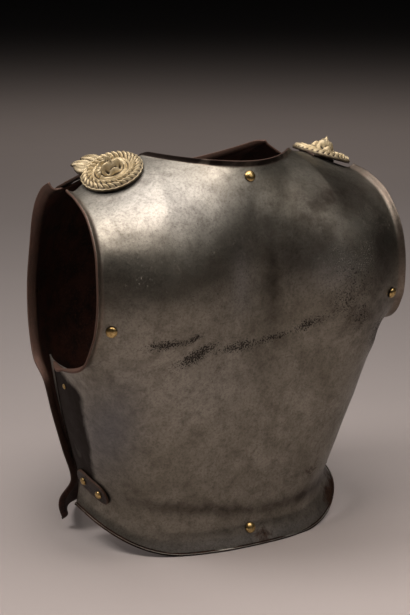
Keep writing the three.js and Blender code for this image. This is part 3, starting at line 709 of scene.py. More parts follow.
FLANGE_VALUES = 1 + np.arange(1, FLANGE_STEPS + 1) / FLANGE_STEPS
ACROSS_VALUES = np.concatenate([-FLANGE_VALUES[::-1], np.linspace(-1, 1, ACROSS_STEPS + 1), FLANGE_VALUES])
UP_VALUES = np.sort(np.concatenate([np.linspace(0, 1, UP_STEPS + 1), FLANGE_VALUES, RIM_ROLL_VALUES]))

# Where each painted zone fades in, as two values of u or v.
ZONES = {
    "side edge": (0.985, 1.3),
    "armhole": (SEAM_TOP - 0.02, SEAM_TOP + 0.02),
    "neck edge": (0.995, 1.1),
    "neck lip": (1.02, 1.3),
    "beside seam": (0.76, 0.88),
    "seam foot": (0.09, 0.14),
    "seam head": (SEAM_TOP - 0.03, SEAM_TOP + 0.01),
}
# How much the turned edges warm the metal, and how much grime and painted shade lie on the neck edge.
SIDE_TURNED, NECK_TURNED, NECK_GRIME_AND_SHADE = 0.5, 0.6, 0.75


def zone(name, values):
    """0 before a zone of the table, 1 past it, and an easy curve between them."""
    return smooth_step(values, *ZONES[name])


def paint_wear(plate, levels, points, u, v, patches):
    """Stores the patches of a plate's table, the shine of its turned edges, and its grime and
    painted shade, which lie in a strip along each seam and on the back plate's neck edge."""
    for kind, table in patches.items():
        store(plate, kind, soft_patches(points[..., 0], points[..., 2], table))
    sides = SIDE_TURNED * zone("side edge", np.abs(u)) * zone("armhole", v)
    store(plate, "turned", np.maximum(sides, NECK_TURNED * zone("neck edge", v)))
    seam = zone("seam foot", v) * (1 - zone("seam head", v)) * zone("beside seam", np.abs(u))
    neck = NECK_GRIME_AND_SHADE * zone("neck lip", v) if levels is BACK_LEVELS else 0
    store(plate, "grime_and_shade", np.maximum(seam, neck))


def make_plate(name, levels, patches, seed, node):
    """A plate's grid, from the right edge to the left and from the rim to the neck, moved out by
    small swells and by the rim's roll, which is half an ellipse. The rim is lifted a little, so
    that its inner edge doesn't sink into the floor."""
    across = ACROSS_VALUES[::-1] if levels is BACK_LEVELS else ACROSS_VALUES
    u, v = np.meshgrid(across, UP_VALUES)
    points = plate_points(levels, u, v)
    _, out = body_directions(levels, np.clip(u, -1, 1), np.clip(v, 0, 1))
    inside = smooth_step(1 - np.abs(u), 0, SWELL_EDGE_U)
    inside = inside * smooth_step(v, 0, SWELL_EDGE_V) * smooth_step(1 - v, 0, SWELL_EDGE_V)
    swell = sum(size * waves(points, length, seed + k) for k, (length, size) in enumerate(SWELLS))
    roll = RIM_ROLL_HEIGHT * np.clip(1 - (v / RIM_ROLL_V - 1) ** 2, 0, 1) ** 0.5
    points = points + out * (swell * inside + roll)[..., None]
    points[..., 2] += RIM_LIFT * (1 - smooth_step(v, 0, RIM_LIFT_V))

    plate = grid_object(name, points)
    paint_wear(plate, levels, points, u, v, patches)
    wall = plate.modifiers.new("wall", "SOLIDIFY")
    wall.thickness = PLATE_THICKNESS * MM
    wall.offset = -1
    wall.material_offset = 1
    wall.material_offset_rim = 1
    wall.use_even_offset = False
    return finish_piece(plate, "steel", (FORGED_STEEL, RUSTED_STEEL), node)


make_plate("back_shell", BACK_LEVELS, BACK_WEAR, 11, "back_plate")
make_plate("breast_shell", BREAST_LEVELS, BREAST_WEAR, 23, "breast_plate")

# %% [markdown]
# Strips behind the seams
# Where the two plates meet under the arms, a plain strip of sheet steel behind the seam
# keeps the gap closed. It is a short bent surface with a wall.

# %% Side strips
STRIP_THICKNESS, STRIP_INSET = 1.8, 1.9
STRIP_UNDER, UNDER_BEND_RADIUS = 44, 500
STRIP_BEYOND, BEYOND_BEND_RADIUS = 42, 110
STRIP_LOW, STRIP_HIGH = 0.17, 0.352
STRIP_POINTS_ACROSS, STRIP_POINTS_UP = 41, 61
# How pitted the strip is, and how much painted light lightens it.
STRIP_PITTING, STRIP_PAINTED_LIGHT = 0.4, 0.7
SIDES = (("left", 1), ("right", -1))


def make_side_strip(word, side):
    """A sheet that follows the back plate's seam from low to high, and bends inwards with the
    square of the distance from the seam, less under the back plate than beyond its edge."""
    share = np.linspace(0, 1, STRIP_POINTS_ACROSS)
    share, height = np.meshgrid(share, np.linspace(STRIP_LOW, STRIP_HIGH, STRIP_POINTS_UP))
    edge = body_points(BACK_LEVELS, float(side), height)
    past = mix(STRIP_UNDER, -STRIP_BEYOND, share)
    bend_radius = np.where(past > 0, UNDER_BEND_RADIUS, BEYOND_BEND_RADIUS)
    inwards = PLATE_THICKNESS + STRIP_INSET + past**2 / (2 * bend_radius)
    points = np.stack([edge[..., 0] - side * inwards, edge[..., 1] + past, edge[..., 2]], -1)
    if side > 0:
        points = points[:, ::-1]
    strip = grid_object(f"{word}_strip", points)
    store(strip, "pitting", np.full(share.shape, STRIP_PITTING))
    # Painted light: the strip is lightened all over.
    store(strip, "painted_light", np.full(share.shape, STRIP_PAINTED_LIGHT))
    wall = strip.modifiers.new("wall", "SOLIDIFY")
    wall.thickness = STRIP_THICKNESS * MM
    wall.offset = -1
    return finish_piece(strip, "steel", (FORGED_STEEL,), f"{word}_side_strip")


for word, side in SIDES:
    make_side_strip(word, side)

# %% [markdown]
# Leather
# A strap is a thick flat section carried along a line: along the shoulder from the back
# plate, over the gap and down on to the breast. The belt's end is a tongue that lies on the
# plate, so it follows the plate's own surface.

# %% Straps and belt ends
STRAP_WIDTH, STRAP_THICKNESS, STRAP_LIFT = 28, 2.4, 1.0
STRAP_BACK_U, STRAP_BREAST_U = 0.79, 0.88
STRAP_BACK_END, STRAP_BREAST_END = 0.97, 0.92
STRAP_ROWS, TAB_ROWS, LEATHER_POINTS_ACROSS = 90, 49, 25
STRAP_WEAR_START, STRAP_WEAR = 0.86, 0.6
EDGE_ROUNDING, EDGE_DEGREES = 0.7, 50
TAB_WIDTH, TAB_THICKNESS, TAB_LIFT = 21, 2.2, 1.3
TAB_START_U, TAB_END_U = 0.985, 0.72
TAB_START_V, TAB_END_V = 0.157, 0.146
TAB_TIP_SHARE, TAB_START_SHARE = 0.25, 0.2
TAB_V_PER_MM, TAB_NARROWEST = 0.0021, 0.02
TAB_WEAR_SIDES, TAB_WEAR_TIP = 0.75, 0.93


def curve_through(points, steps):
    """A smooth curve through rows of points, with the distance between them as its clock."""
    gaps = np.linalg.norm(np.diff(points, axis=0), axis=-1).mean(-1)
    clock = np.concatenate([[0], np.cumsum(gaps)])
    slopes = np.gradient(points, clock, axis=0)
    wanted = np.linspace(0, clock[-1], steps)
    part = np.clip(np.searchsorted(clock, wanted, side="right") - 1, 0, len(clock) - 2)
    length = (clock[part + 1] - clock[part])[:, None, None]
    t = (wanted - clock[part])[:, None, None] / length
    return (
        (2 * t**3 - 3 * t**2 + 1) * points[part]
        + (t**3 - 2 * t**2 + t) * length * slopes[part]
        + (3 * t**2 - 2 * t**3) * points[part + 1]
        + (t**3 - t**2) * length * slopes[part + 1]
    )


def leather_sheet(name, points, thickness, edge_wear, node):
    """A sheet of leather with a wall, softly rounded edges, and its rubbed edge painted on."""
    leather = grid_object(name, points)
    store(leather, "edge", edge_wear)
    wall = leather.modifiers.new("wall", "SOLIDIFY")
    wall.thickness = thickness * MM
    wall.offset = -1
    rounding = leather.modifiers.new("rounding", "BEVEL")
    rounding.width = EDGE_ROUNDING * MM
    rounding.segments = 3
    rounding.angle_limit = math.radians(EDGE_DEGREES)
    return finish_piece(leather, "leather", (OLD_LEATHER,), node)


def make_strap(word, side):
    """The strap's outer face: at each station a line across it, and a smooth curve from one to
    the next."""
    across = np.linspace(-1, 1, LEATHER_POINTS_ACROSS)
    stations = (
        (BACK_LEVELS, STRAP_BACK_U, STRAP_BACK_END),
        (BACK_LEVELS, STRAP_BACK_U, mix(STRAP_BACK_END, 1, 0.5)),
        (BACK_LEVELS, STRAP_BACK_U, 1),
        (BREAST_LEVELS, STRAP_BREAST_U, 1),
        (BREAST_LEVELS, STRAP_BREAST_U, mix(STRAP_BREAST_END, 1, 0.5)),
        (BREAST_LEVELS, STRAP_BREAST_U, STRAP_BREAST_END),
    )
    rows = []
    for levels, u, v in stations:
        line = side * (u + across * STRAP_WIDTH / 2 / levels[-1, 0])
        _, out = body_directions(levels, line, v)
        rows.append(body_points(levels, line, v) + out * (STRAP_LIFT + STRAP_THICKNESS))
    points = curve_through(np.array(rows), STRAP_ROWS)
    if side > 0:
        points = points[:, ::-1]
    wear = STRAP_WEAR * smooth_step(np.abs(across), STRAP_WEAR_START, 1)
    wear = np.broadcast_to(wear, points.shape[:2])
    return leather_sheet(f"{word}_strap", points, STRAP_THICKNESS, wear, f"{word}_shoulder_strap")


def make_belt_tab(word, side):
    """The belt's end on the back plate: a tongue whose width follows a half circle at its tip."""
    across = np.linspace(-1, 1, LEATHER_POINTS_ACROSS)
    across, along = np.meshgrid(across, np.linspace(0, 1, TAB_ROWS))
    tip = np.clip(1 - (1 - along) / TAB_TIP_SHARE, 0, 1)
    start = np.clip(1 - along / TAB_START_SHARE, 0, 1)
    half = TAB_WIDTH / 2 * np.sqrt(np.clip(1 - np.maximum(tip, start) ** 2, TAB_NARROWEST, 1))
    u = side * mix(TAB_START_U, TAB_END_U, along)
    v = mix(TAB_START_V, TAB_END_V, along) + across * half * TAB_V_PER_MM
    _, out = body_directions(BACK_LEVELS, u, v)
    points = body_points(BACK_LEVELS, u, v) + out * (TAB_LIFT + TAB_THICKNESS)
    if side > 0:
        points = points[:, ::-1]
    wear = smooth_step(np.abs(across), TAB_WEAR_SIDES, 1)
    wear = np.maximum(wear, smooth_step(along, TAB_WEAR_TIP, 1))
    return leather_sheet(f"{word}_belt_end", points, TAB_THICKNESS, wear, f"{word}_belt_tab")


for word, side in SIDES:
    make_strap(word, side)
    make_belt_tab(word, side)

# %% [markdown]
# Seats on a plate
# A rivet's head and a boss are flat underneath, and the plate under them is not. So each of
# them is moved out until it touches the highest spot that it covers. Casting rays on to the
# finished mesh would find that spot too, but a grid of points of the formula is enough.

# %% Seats on a plate
SEAT_U, SEAT_V = np.meshgrid(np.linspace(-1.2, 1.2, 481), np.linspace(0, 1.02, 401))
BACK_SEATS = plate_points(BACK_LEVELS, SEAT_U, SEAT_V)
BREAST_SEATS = plate_points(BREAST_LEVELS, SEAT_U, SEAT_V)
SEAT_REACH = 40


def axes_on(levels, u, v):
    """A point of a plate's outer face, and two directions along it and one out of it."""
    up, out = body_directions(levels, u, v)
    x_axis = unit(np.cross(up, out))
    return body_points(levels, u, v), (x_axis, np.cross(out, x_axis), out)


def highest_under(levels, origin, axes, radius):
    """How high a plate reaches above the origin, along the last axis, within a radius of it."""
    seats = BACK_SEATS if levels is BACK_LEVELS else BREAST_SEATS
    offsets = seats - origin
    height = offsets @ axes[2]
    is_near = np.hypot(offsets @ axes[0], offsets @ axes[1]) < radius
    is_near &= np.abs(height) < SEAT_REACH
    return height[is_near].max(initial=-SEAT_REACH)


print("neck rivet stands at", axes_on(BACK_LEVELS, 0, 0.963)[0].round(1))

# %% [markdown]
# Rivets
# A rivet is a turned shape: a round head outside, a shank through its hole, and a hammered
# tail inside. So its profile is carried once round its own axis, which stands square on
# the plate. A primitive sphere cut in half would have no shank and no soft edge.

# %% Domed rivets
BIG_RIVET = {"head": 6, "height": 4, "shank": 2.4, "tail": 3.8}
BELT_RIVET = {"head": 4.6, "height": 3, "shank": 2, "tail": 3.2}
SMALL_RIVET = {"head": 3, "height": 1.8, "shank": 1.5, "tail": 2.4}
HEAD_GAP, TAIL_GAP = 0.1, 0.6
HEAD_EDGE, TAIL_DEPTH, TAIL_EDGE = 0.35, 1, 0.7
HEAD_FOOT_SHARE, TAIL_FLAT_SHARE = 0.97, 0.9
POLE_RADIUS = 0.01
DOME_POINTS, TURN_POINTS = 14, 48
# Dirt and painted shade round a rivet's foot: its strength, and the heights where it fades.
FOOT_DIRT_AND_SHADE, DARK_FOOT_LOW, DARK_FOOT_SHARE = 0.9, 0.2, 0.35


def make_rivet(name, node, levels, u, v, size=BIG_RIVET, over=0.0, behind=0.0):
    """A rivet: its profile of radius and height, spun once round the axis out of the plate. Its
    head may lie over a strap, and its tail behind a strip."""
    origin, axes = axes_on(levels, u, v)
    foot = highest_under(levels, origin, axes, size["head"]) + HEAD_GAP + over
    tail = -PLATE_THICKNESS - TAIL_GAP - behind
    dome = np.linspace(0, np.pi / 2, DOME_POINTS)
    dome_height = foot + HEAD_EDGE + (size["height"] - HEAD_EDGE) * np.sin(dome)
    radius, height = np.array([
        (POLE_RADIUS, tail - TAIL_DEPTH),
        (size["tail"] * TAIL_FLAT_SHARE, tail - TAIL_DEPTH),
        (size["tail"], tail - TAIL_EDGE),
        (size["tail"], tail),
        (size["shank"], tail),
        (size["shank"], foot),
        (size["head"] * HEAD_FOOT_SHARE, foot),
        *zip(size["head"] * np.cos(dome), dome_height),
    ]).T
    radius = np.maximum(radius, POLE_RADIUS)
    turn = np.linspace(0, 2 * np.pi, TURN_POINTS, endpoint=False)
    ring = np.cos(turn)[None, :, None] * axes[0] + np.sin(turn)[None, :, None] * axes[1]
    points = origin + ring * radius[:, None, None] + height[:, None, None] * axes[2]
    rivet = grid_object(name, points, closed_across=True)
    # Dirt and painted shade: dark at the foot and below it, fading out a little way up the head.
    dark_dirt_and_shade = FOOT_DIRT_AND_SHADE * (1 - smooth_step(height, foot + DARK_FOOT_LOW, foot + DARK_FOOT_SHARE * size["height"]))
    store(rivet, "dirt_and_shade", np.repeat(dark_dirt_and_shade, len(turn)))
    weld(rivet, 0.05)
    return finish_piece(rivet, "brass_rivets", (WORN_BRASS,), node)


ON_TAB = {"size": BELT_RIVET, "over": TAB_LIFT + TAB_THICKNESS}
ON_STRIP = {"size": SMALL_RIVET, "behind": STRIP_INSET + STRIP_THICKNESS}
ON_STRAP = {"size": SMALL_RIVET, "over": STRAP_LIFT + STRAP_THICKNESS}
# Columns: the rivet's place in words, its plate, and its place across and up the plate.
MIDDLE_RIVETS = (
    ("back_neck", BACK_LEVELS, 0, 0.963),
    ("back_waist", BACK_LEVELS, -0.01, 0.085),
    ("breast_neck", BREAST_LEVELS, 0, 0.95),
    ("breast_waist", BREAST_LEVELS, 0, 0.085),
)
# Columns: the end of the piece's and of the node's name, plate, place across and up, sizes.
PAIRED_RIVETS = (
    ("back", "back_armhole_rivet", BACK_LEVELS, 0.93, 0.587, {}),
    ("breast", "breast_armhole_rivet", BREAST_LEVELS, 0.93, 0.6, {}),
    ("belt_1", "belt_rivet_1", BACK_LEVELS, 0.925, 0.154, ON_TAB),
    ("belt_2", "belt_rivet_2", BACK_LEVELS, 0.79, 0.149, ON_TAB),
    ("strip", "strip_rivet", BACK_LEVELS, 0.955, 0.33, ON_STRIP),
    ("strap", "strap_rivet", BREAST_LEVELS, STRAP_BREAST_U, 0.955, ON_STRAP),
)
for words, levels, u, v in MIDDLE_RIVETS:
    make_rivet(f"rivet_{words}", f"{words}_rivet", levels, u, v)
for word, side in SIDES:
    for words, node, levels, u, v, sizes in PAIRED_RIVETS:
        make_rivet(f"rivet_{word}_{words}", f"{word}_{node}", levels, u * side, v, **sizes)

# %% [markdown]
# The lion bosses
# A boss was cast in one piece: a dished disc, a wreath of two rows of laurel leaves, and a
# lion's mask that stands well out of it. Cast relief has no overhangs, because it had to
# leave its mould, so a height over the disc describes all of it. The leaves repeat round
# the disc, so one formula draws a whole ring of them.

# %% Leaves and creases
BOSS_RADIUS, BOSS_EDGE, BOSS_FLOOR, DISH_START = 33, 3.4, 5.5, 26
FURROW_RADIUS, FURROW_WIDTH, FURROW_DEPTH = 17.0, 2.0, 2.4
CREASE = 0.35
LEAF_TILT = 0.28
# Columns: middle radius, count, half length, half width, lean, height, shift in leaves.
LEAF_ROWS = (
    (28.6, 31, 5.2, 2.3, 0.62, 4.2, 0.0),
    (23.0, 25, 4.8, 2.2, 0.62, 5.0, 0.5),
)


def soft_top(heights, softness):
    """The highest of several heights, with the creases between them filled a little: the
    logarithm of the sum of their exponentials."""
    stack = np.array(heights) / softness
    top = stack.max(0)
    return softness * (top + np.log(np.exp(stack - top).sum(0)))


def leaf_row(radius, angle, middle, count, half_length, half_width, lean, height, shift):
    """A ring of pointed leaves: each lies at a slant to the ring, with a raised rib and sides
    that fall away, and every leaf covers the foot of the next."""
    pitch = 2 * np.pi * middle / count
    step = (angle / (2 * np.pi) * count + shift) % 1
    best = np.zeros_like(radius)
    for neighbour in (-2, -1, 0, 1, 2):
        along, beside = slanted((step - 0.5 + neighbour) * pitch, radius, 0, middle, lean)
        taper = np.clip(1 - (along / half_length) ** 2, 0, 1)
        half = half_width * taper**0.7 + 1e-6
        blade = np.clip(1 - np.abs(beside) / half, 0, 1)
        tilt = 1 - LEAF_TILT + LEAF_TILT * along / half_length
        rise = height * taper**0.35 * blade**0.7 * tilt
        best = np.maximum(best, rise * (taper > 0))
    return best


print("leaves in the wreath", sum(row[1] for row in LEAF_ROWS))

# %% [markdown]
# The mask
# The lion's head could be sculpted by hand. A dome with bell-shaped swellings and dents is
# plainer, but each feature is then a row that can be read and changed: brow, nose, muzzle,
# cheeks, ears, eyes and mouth. The mane is a ring of swirling locks round the brow.

# %% The mask and the relief
# The head's dome over the disc, with the chin towards +y.
HEAD = {"middle_y": -0.5, "half_width": 13.4, "half_length": 14, "height": 9}
# Features on the dome. The rows of the second table are mirrored to the other side. Columns:
# middle x, middle y, half width, half length, height or depth, turn in radians.
MIDDLE_FEATURES = (
    (0, 3.0, 5.5, 6.0, 3.0, 0),
    (0, -3.5, 1.8, 7.5, 4.6, 0),
    (0, 2.0, 2.9, 2.3, 2.9, 0),
    (0, -10.5, 5.5, 3.4, 2.4, 0),
    (0, 11.6, 3.8, 2.4, 2.8, 0),
    (0, 8.9, 4.4, 1.0, -2.8, 0),
    (0, 5.2, 0.6, 2.4, -1.2, 0),
)
PAIRED_FEATURES = (
    (4.6, 5.0, 3.4, 3.0, 2.8, 0.3),
    (6.8, -7.4, 4.6, 1.7, 3.4, -0.35),
    (8.6, 3.4, 3.4, 4.0, 4.2, 0),
    (11.4, -10.6, 2.4, 2.4, 4.0, 0),
    (11.4, -10.8, 1.1, 1.1, -2.6, 0),
    (5.8, -3.2, 3.0, 2.1, -7.0, 0),
    (6.0, -3.2, 1.2, 1.0, 2.6, 0),
    (2.4, 3.2, 0.9, 0.8, -1.6, 0),
    (7.0, 8.6, 2.6, 1.2, -2.8, -0.8),
)
# The mane lies between two radii, and ends at the cheeks. Each pair is where it fades.
MANE_INSIDE, MANE_OUTSIDE, MANE_CHEEKS = (9, 12), (16, 18.2), (2, 9)
MANE_HEIGHT, LOCK_HEIGHT = 2.2, 2.4
LOCK_WAVES, LOCK_SWIRL = 6, 0.22


def bell(x, y, middle_x, middle_y, half_x, half_y, height, turn):
    """A soft swelling: a bell curve of the given height, or a dent where the height is negative."""
    along, beside = slanted(x, y, middle_x, middle_y, turn)
    return height * np.exp(-((along / half_x) ** 2) - (beside / half_y) ** 2)


def lion_mask(x, y):
    """The mask: a steep dome, whose height is one minus the squared distance from its middle, to
    the power 0.6, and soft swellings and dents for its features."""
    distance = (x / HEAD["half_width"]) ** 2 + ((y - HEAD["middle_y"]) / HEAD["half_length"]) ** 2
    mask = HEAD["height"] * np.clip(1 - distance, 0, 1) ** 0.6
    for feature in MIDDLE_FEATURES:
        mask = mask + bell(x, y, *feature)
    for middle_x, middle_y, *shape, turn in PAIRED_FEATURES:
        for side in (-1, 1):
            mask = mask + bell(x, y, middle_x * side, middle_y, *shape, turn * side)
    return mask


def lion_mane(radius, angle, y):
    """The mane: locks that swirl round the brow, each the rounded top of a sine."""
    share = smooth_step(radius, *MANE_INSIDE) * (1 - smooth_step(radius, *MANE_OUTSIDE))
    share = share * (1 - smooth_step(y, *MANE_CHEEKS))
    swirl = LOCK_WAVES * angle + LOCK_SWIRL * (radius - MANE_INSIDE[1]) + 0.7 * np.sin(3 * angle)
    return share * (MANE_HEIGHT + LOCK_HEIGHT * np.abs(np.sin(swirl)) ** 0.6)


def boss_height(x, y):
    """The height of the casting over a point of its disc: the dished disc, with two rows of leaves,
    a furrow inside them, the mane and the mask on top, whichever is the highest."""
    radius = np.hypot(x, y)
    angle = np.arctan2(y, x)
    dish = mix(BOSS_FLOOR, BOSS_EDGE, smooth_step(radius, DISH_START, BOSS_RADIUS))
    dish = dish - FURROW_DEPTH * np.exp(-(((radius - FURROW_RADIUS) / FURROW_WIDTH) ** 2))
    reliefs = [leaf_row(radius, angle, *row) for row in LEAF_ROWS]
    reliefs += [lion_mane(radius, angle, y), np.clip(lion_mask(x, y), 0, None)]
    return dish + soft_top(reliefs, CREASE) - CREASE * math.log(len(reliefs))


print("nose over the disc", round(float(boss_height(np.array([0.0]), np.array([1.2]))[0]), 1))

# %% [markdown]
# From the relief to the casting
# The relief is sampled on rings round the middle, so that its rim is a clean circle. The
# rings go on down the rim and back under the disc, which closes the solid. How much
# lower a point lies than its neighbourhood says how much dirt and painted shade it gets, and
# the rim and the underside are painted dark as well. A knot of three leaves grows out of the
# wreath, and each of them is a small closed shape of its own, painted darker down its sides.

# %% Rings and leaves
RING_COUNT, RING_POINTS = 112, 300
SCALLOPS, SCALLOP_SHARE, SCALLOP_START = 30, 0.012, 29
# Dirt and painted shade on the casting: blur passes, the depth that counts as full, and the edge's share.
DARKENING_PASSES, DARKENING_DEPTH, EDGE_DIRT_AND_SHADE = 14, 0.6, 0.7
# The casting's edge and underside. Columns: radius, height.
UNDERSIDE = ((BOSS_RADIUS, 0.5), (BOSS_RADIUS - 0.3, 0.05), (BOSS_RADIUS * 0.6, 0), (0, 0))
# Columns: turn from the knot's middle in radians, reach, half length, half width, sideways bend.
KNOT_LEAVES = (
    (-0.34, 33, 11, 5.6, 5),
    (0.02, 36, 12.5, 5.8, 3),
    (0.36, 33, 11, 5.6, -4),
)
LEAF_HEIGHT, LEAF_FLOOR, LEAF_DEPTH, LEAF_CURL = 5, 3.6, 1.5, 1.5
LEAF_SECTIONS, LEAF_POINTS = 49, 36


def blurred(values, passes):
    """Values on rings, averaged with their neighbours again and again."""
    for _ in range(passes):
        around = (np.roll(values, 1, 1) + np.roll(values, -1, 1)) / 2
        padded = np.concatenate([values[:1], values, values[-1:]])
        values = 0.5 * around + 0.25 * (padded[:-2] + padded[2:])
    return values


def boss_points():
    """Rings of points over the disc, down its rim and back under it, and the dirt and painted shade
    at each: more in the hollows, most at the edge and full under the disc. The rings lie closer
    together towards the rim."""
    turn = np.linspace(0, 2 * np.pi, RING_POINTS, endpoint=False)
    rings = BOSS_RADIUS * np.linspace(0.0, 1, RING_COUNT) ** 0.9
    radius, angle = np.meshgrid(rings, turn, indexing="ij")
    scallop = SCALLOP_SHARE * np.cos(SCALLOPS * angle) * smooth_step(radius, SCALLOP_START, BOSS_RADIUS)
    x, y = radius * (1 + scallop) * np.cos(angle), radius * (1 + scallop) * np.sin(angle)
    top = boss_height(x, y)
    # Dirt and painted shade: how far a point lies below its blurred neighbourhood.
    dirt_and_shade = np.clip((blurred(top, DARKENING_PASSES) - top) / DARKENING_DEPTH, 0, 1)
    # The edge ring is painted dark as well.
    dirt_and_shade[-1] = EDGE_DIRT_AND_SHADE
    under_radius, under_height = (np.array(column)[:, None] for column in zip(*UNDERSIDE))
    x = np.concatenate([x, under_radius * np.cos(turn)])
    y = np.concatenate([y, under_radius * np.sin(turn)])
    z = np.concatenate([top, under_height + 0 * turn])
    # The underside is painted fully dark.
    dirt_and_shade = np.concatenate([dirt_and_shade, np.ones((len(UNDERSIDE), RING_POINTS))])
    return np.stack([x, y, z], -1), dirt_and_shade


def acanthus_leaf(turn, reach, half_length, half_width, bend):
    """A pointed leaf of the knot over the strap, closed all round: rings across it, whose width
    and height shrink to nothing at both ends, a furrow down its middle and a bend to one side."""
    around = np.linspace(0, 2 * np.pi, LEAF_POINTS, endpoint=False)
    along, around = np.meshgrid(np.linspace(-1, 1, LEAF_SECTIONS), around, indexing="ij")
    taper = np.clip(1 - along**2, 0, 1) ** 0.55
    across = np.cos(around)
    ribs = 1 - 0.5 * np.exp(-((across / 0.2) ** 2)) + 0.12 * np.cos(across * 14)
    upper = LEAF_HEIGHT * taper * np.clip(np.sin(around), 0, 1) ** 0.6 * ribs
    lower = LEAF_DEPTH * taper * np.clip(-np.sin(around), 0, 1)
    length = reach + along * half_length
    side = across * (half_width * taper + 0.02) + bend * (along + 0.4) ** 2
    points = np.stack([
        length * math.cos(turn) - side * math.sin(turn),
        length * math.sin(turn) + side * math.cos(turn),
        LEAF_FLOOR + upper - lower + LEAF_CURL * smooth_step(along, 0.3, 1),
    ], -1)
    # The second value is dirt and painted shade, darker down the leaf's sides and underneath.
    return points, np.clip(1.15 - upper / LEAF_HEIGHT, 0, 1)


print("points of a casting", boss_points()[1].size)

# %% [markdown]
# The bosses on their shoulders
# The two bosses were never set quite alike, because each strap pulls its own way. So every
# side has its own place and slant, and the left boss is the mirror image of the right one.

# %% Make the bosses
BOSS_V, BOSS_SEAT = 0.96, 0.6
# Place across the back plate, millimetres moved forward, and the direction it faces.
BOSS_PLACES = {
    "left": (0.75, 0, (0.38, 0.27, 0.88)),
    "right": (-0.86, 31, (-0.27, 0.03, 0.9)),
}
KNOT_ANGLE = -1.06


def place_boss(points, word, side):
    """Moves a boss's own points on to the shoulder: x outwards, y down the back, z out."""
    u, forward, tilt = BOSS_PLACES[word]
    out = unit(np.array(tilt))
    origin = body_points(BACK_LEVELS, u, BOSS_V) - np.array([0, forward, 0])
    x_axis = unit(np.array([1.0, 0, 0]) - out * out[0])
    axes = np.array([x_axis, np.cross(out, x_axis), out])
    plates = (BACK_LEVELS, BREAST_LEVELS)
    seat = max(highest_under(levels, origin, axes, BOSS_RADIUS) for levels in plates) + BOSS_SEAT
    return origin + out * seat + (points * np.array([side, 1, 1])) @ axes


def make_boss(word, side):
    """The casting on one shoulder with its knot of leaves, as one piece."""
    parts = [boss_points()]
    parts += [acanthus_leaf(KNOT_ANGLE + turn, *sizes) for turn, *sizes in KNOT_LEAVES]
    boss = joined_grids(f"{word}_boss", [(place_boss(points, word, side), True) for points, _ in parts])
    # Dirt and painted shade of the casting and its leaves.
    store(boss, "dirt_and_shade", np.concatenate([dark_dirt_and_shade.ravel() for _, dark_dirt_and_shade in parts]))
    weld(boss, 0.02)
    return finish_piece(boss, "cast_brass", (CAST_BRASS,), f"{word}_lion_boss")


for word, side in SIDES:
    make_boss(word, side)

# %% [markdown]
# Floor
# The cuirass stands on a plain pale floor. It reaches so far that its end is in the dark, so
# no wall is needed behind it.

# %% Floor
FLOOR_HALF = 20000


def plain_floor():
    """A matt pale floor that goes on past the light."""
    material, place, shader = new_material("plain_floor")
    tone = blend_colour(material, noise(material, place, 300, detail=2), "a79e9b", "aba29f")
    fill_inputs(material, shader, {"Base Color": tone, "Roughness": 0.85})
    x, y = np.meshgrid([-FLOOR_HALF, FLOOR_HALF], [-FLOOR_HALF, FLOOR_HALF])
    floor = grid_object("floor", np.stack([x, y, 0 * x], -1).astype(float))
    floor.data.materials.append(material)
    floor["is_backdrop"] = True


plain_floor()
print("floor in metres", 2 * FLOOR_HALF * MM)

# %% [markdown]
# Camera
# A long lens from a little above, behind the wearer and towards their left, shows the back
# plate with one armhole. A small shift moves the picture without tilting the camera.

# %% Camera
CAMERA_TARGET = Vector((0, DEPTH_SHIFT, 210)) * MM
CAMERA_AZIMUTH, CAMERA_ELEVATION, CAMERA_DISTANCE = 152.0, 15.15, 1.802
azimuth, elevation = math.radians(CAMERA_AZIMUTH), math.radians(CAMERA_ELEVATION)
towards_camera = Vector((
    math.sin(azimuth) * math.cos(elevation),
    -math.cos(azimuth) * math.cos(elevation),
    math.sin(elevation),
))
camera_data = bpy.data.cameras.new("camera")
camera_data.lens = 93.66
camera_data.sensor_width = 36
camera_data.shift_x = 0.0161
camera_data.shift_y = 0.0475
camera = bpy.data.objects.new("camera", camera_data)
camera.location = CAMERA_TARGET + towards_camera * CAMERA_DISTANCE
camera.rotation_mode = "QUATERNION"
camera.rotation_quaternion = (-towards_camera).to_track_quat("-Z", "Y")
bpy.context.scene.collection.objects.link(camera)
bpy.context.scene.camera = camera
print("camera at", [round(value, 3) for value in camera.location])

# %% [markdown]
# Lights
# Steel shows what it mirrors, so its lamps are large and close, and the dark between them
# shows in it as well. A large soft lamp hangs overhead, a smaller one at the wearer's left
# throws the long shadow, and a weak one before the back plate fills its dark side. The last
# two light only the floor in front and behind, and beyond them it goes dark.

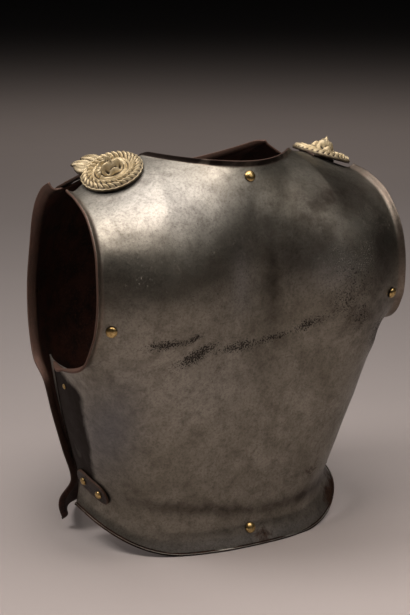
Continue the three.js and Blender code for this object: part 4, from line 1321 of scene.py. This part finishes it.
# %% Lights
# Columns: name, place and aim in metres, width, depth, watts, tint, spread in degrees.
LAMPS = (
    ("overhead_lamp", (-0.24, 0.03, 1.95), (-0.24, 0.0301, 0), 1.5, 1.7, 23, "fff9f5", 180),
    ("side_lamp", (1.05, -0.19, 1.5), (0, 0, 0.2), 0.6, 0.6, 15, "fff9f5", 180),
    ("front_lamp", (-0.58, 1.14, 1.36), (0, 0, 0.35), 0.9, 0.9, 3.0, "fff9f5", 180),
    ("floor_lamp", (0.1, 0.75, 1.7), (0, 0.5, 0), 1.3, 0.7, 2.4, "fff3ea", 60),
    ("backdrop_lamp", (-1.36, -2.55, 2.3), (-1.5, -2.8, 0), 3.4, 1.2, 7.2, "fff3ea", 110),
)
ROOM_GLOW = 0.002


def soft_lamp(name, place, aim, width, depth, watts, tint, spread):
    """A rectangular soft lamp, turned to face its aim."""
    data = bpy.data.lights.new(name, "AREA")
    data.shape = "RECTANGLE"
    data.size, data.size_y = width, depth
    data.energy = watts
    data.color = colour(tint)[:3]
    data.spread = math.radians(spread)
    lamp = bpy.data.objects.new(name, data)
    lamp.location = place
    lamp.rotation_euler = (Vector(aim) - Vector(place)).to_track_quat("-Z", "Y").to_euler()
    bpy.context.scene.collection.objects.link(lamp)


for lamp in LAMPS:
    soft_lamp(*lamp)

world = bpy.data.worlds.new("studio")
world.use_nodes = True
world.node_tree.nodes["Background"].inputs["Color"].default_value = colour("ffffff")
world.node_tree.nodes["Background"].inputs["Strength"].default_value = ROOM_GLOW
bpy.context.scene.world = world
bpy.context.scene.view_settings.view_transform = "Standard"
print("lamps", len(LAMPS), "with watts", sum(lamp[5] for lamp in LAMPS))

# %% [markdown]
# How far past the solids
# The box of the dressed piece is held against the box of the solids, and how far each of
# its sides lies past theirs is printed in millimetres. The dressed piece has to stay
# inside the box of the solids.

# %% Sizes and finish
visual_low, visual_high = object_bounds()
ends = zip((*CAD_LOW, *CAD_HIGH), (*visual_low, *visual_high))
print("past the solids' box in mm", [round((visual - cad) / MM, 1) for cad, visual in ends])
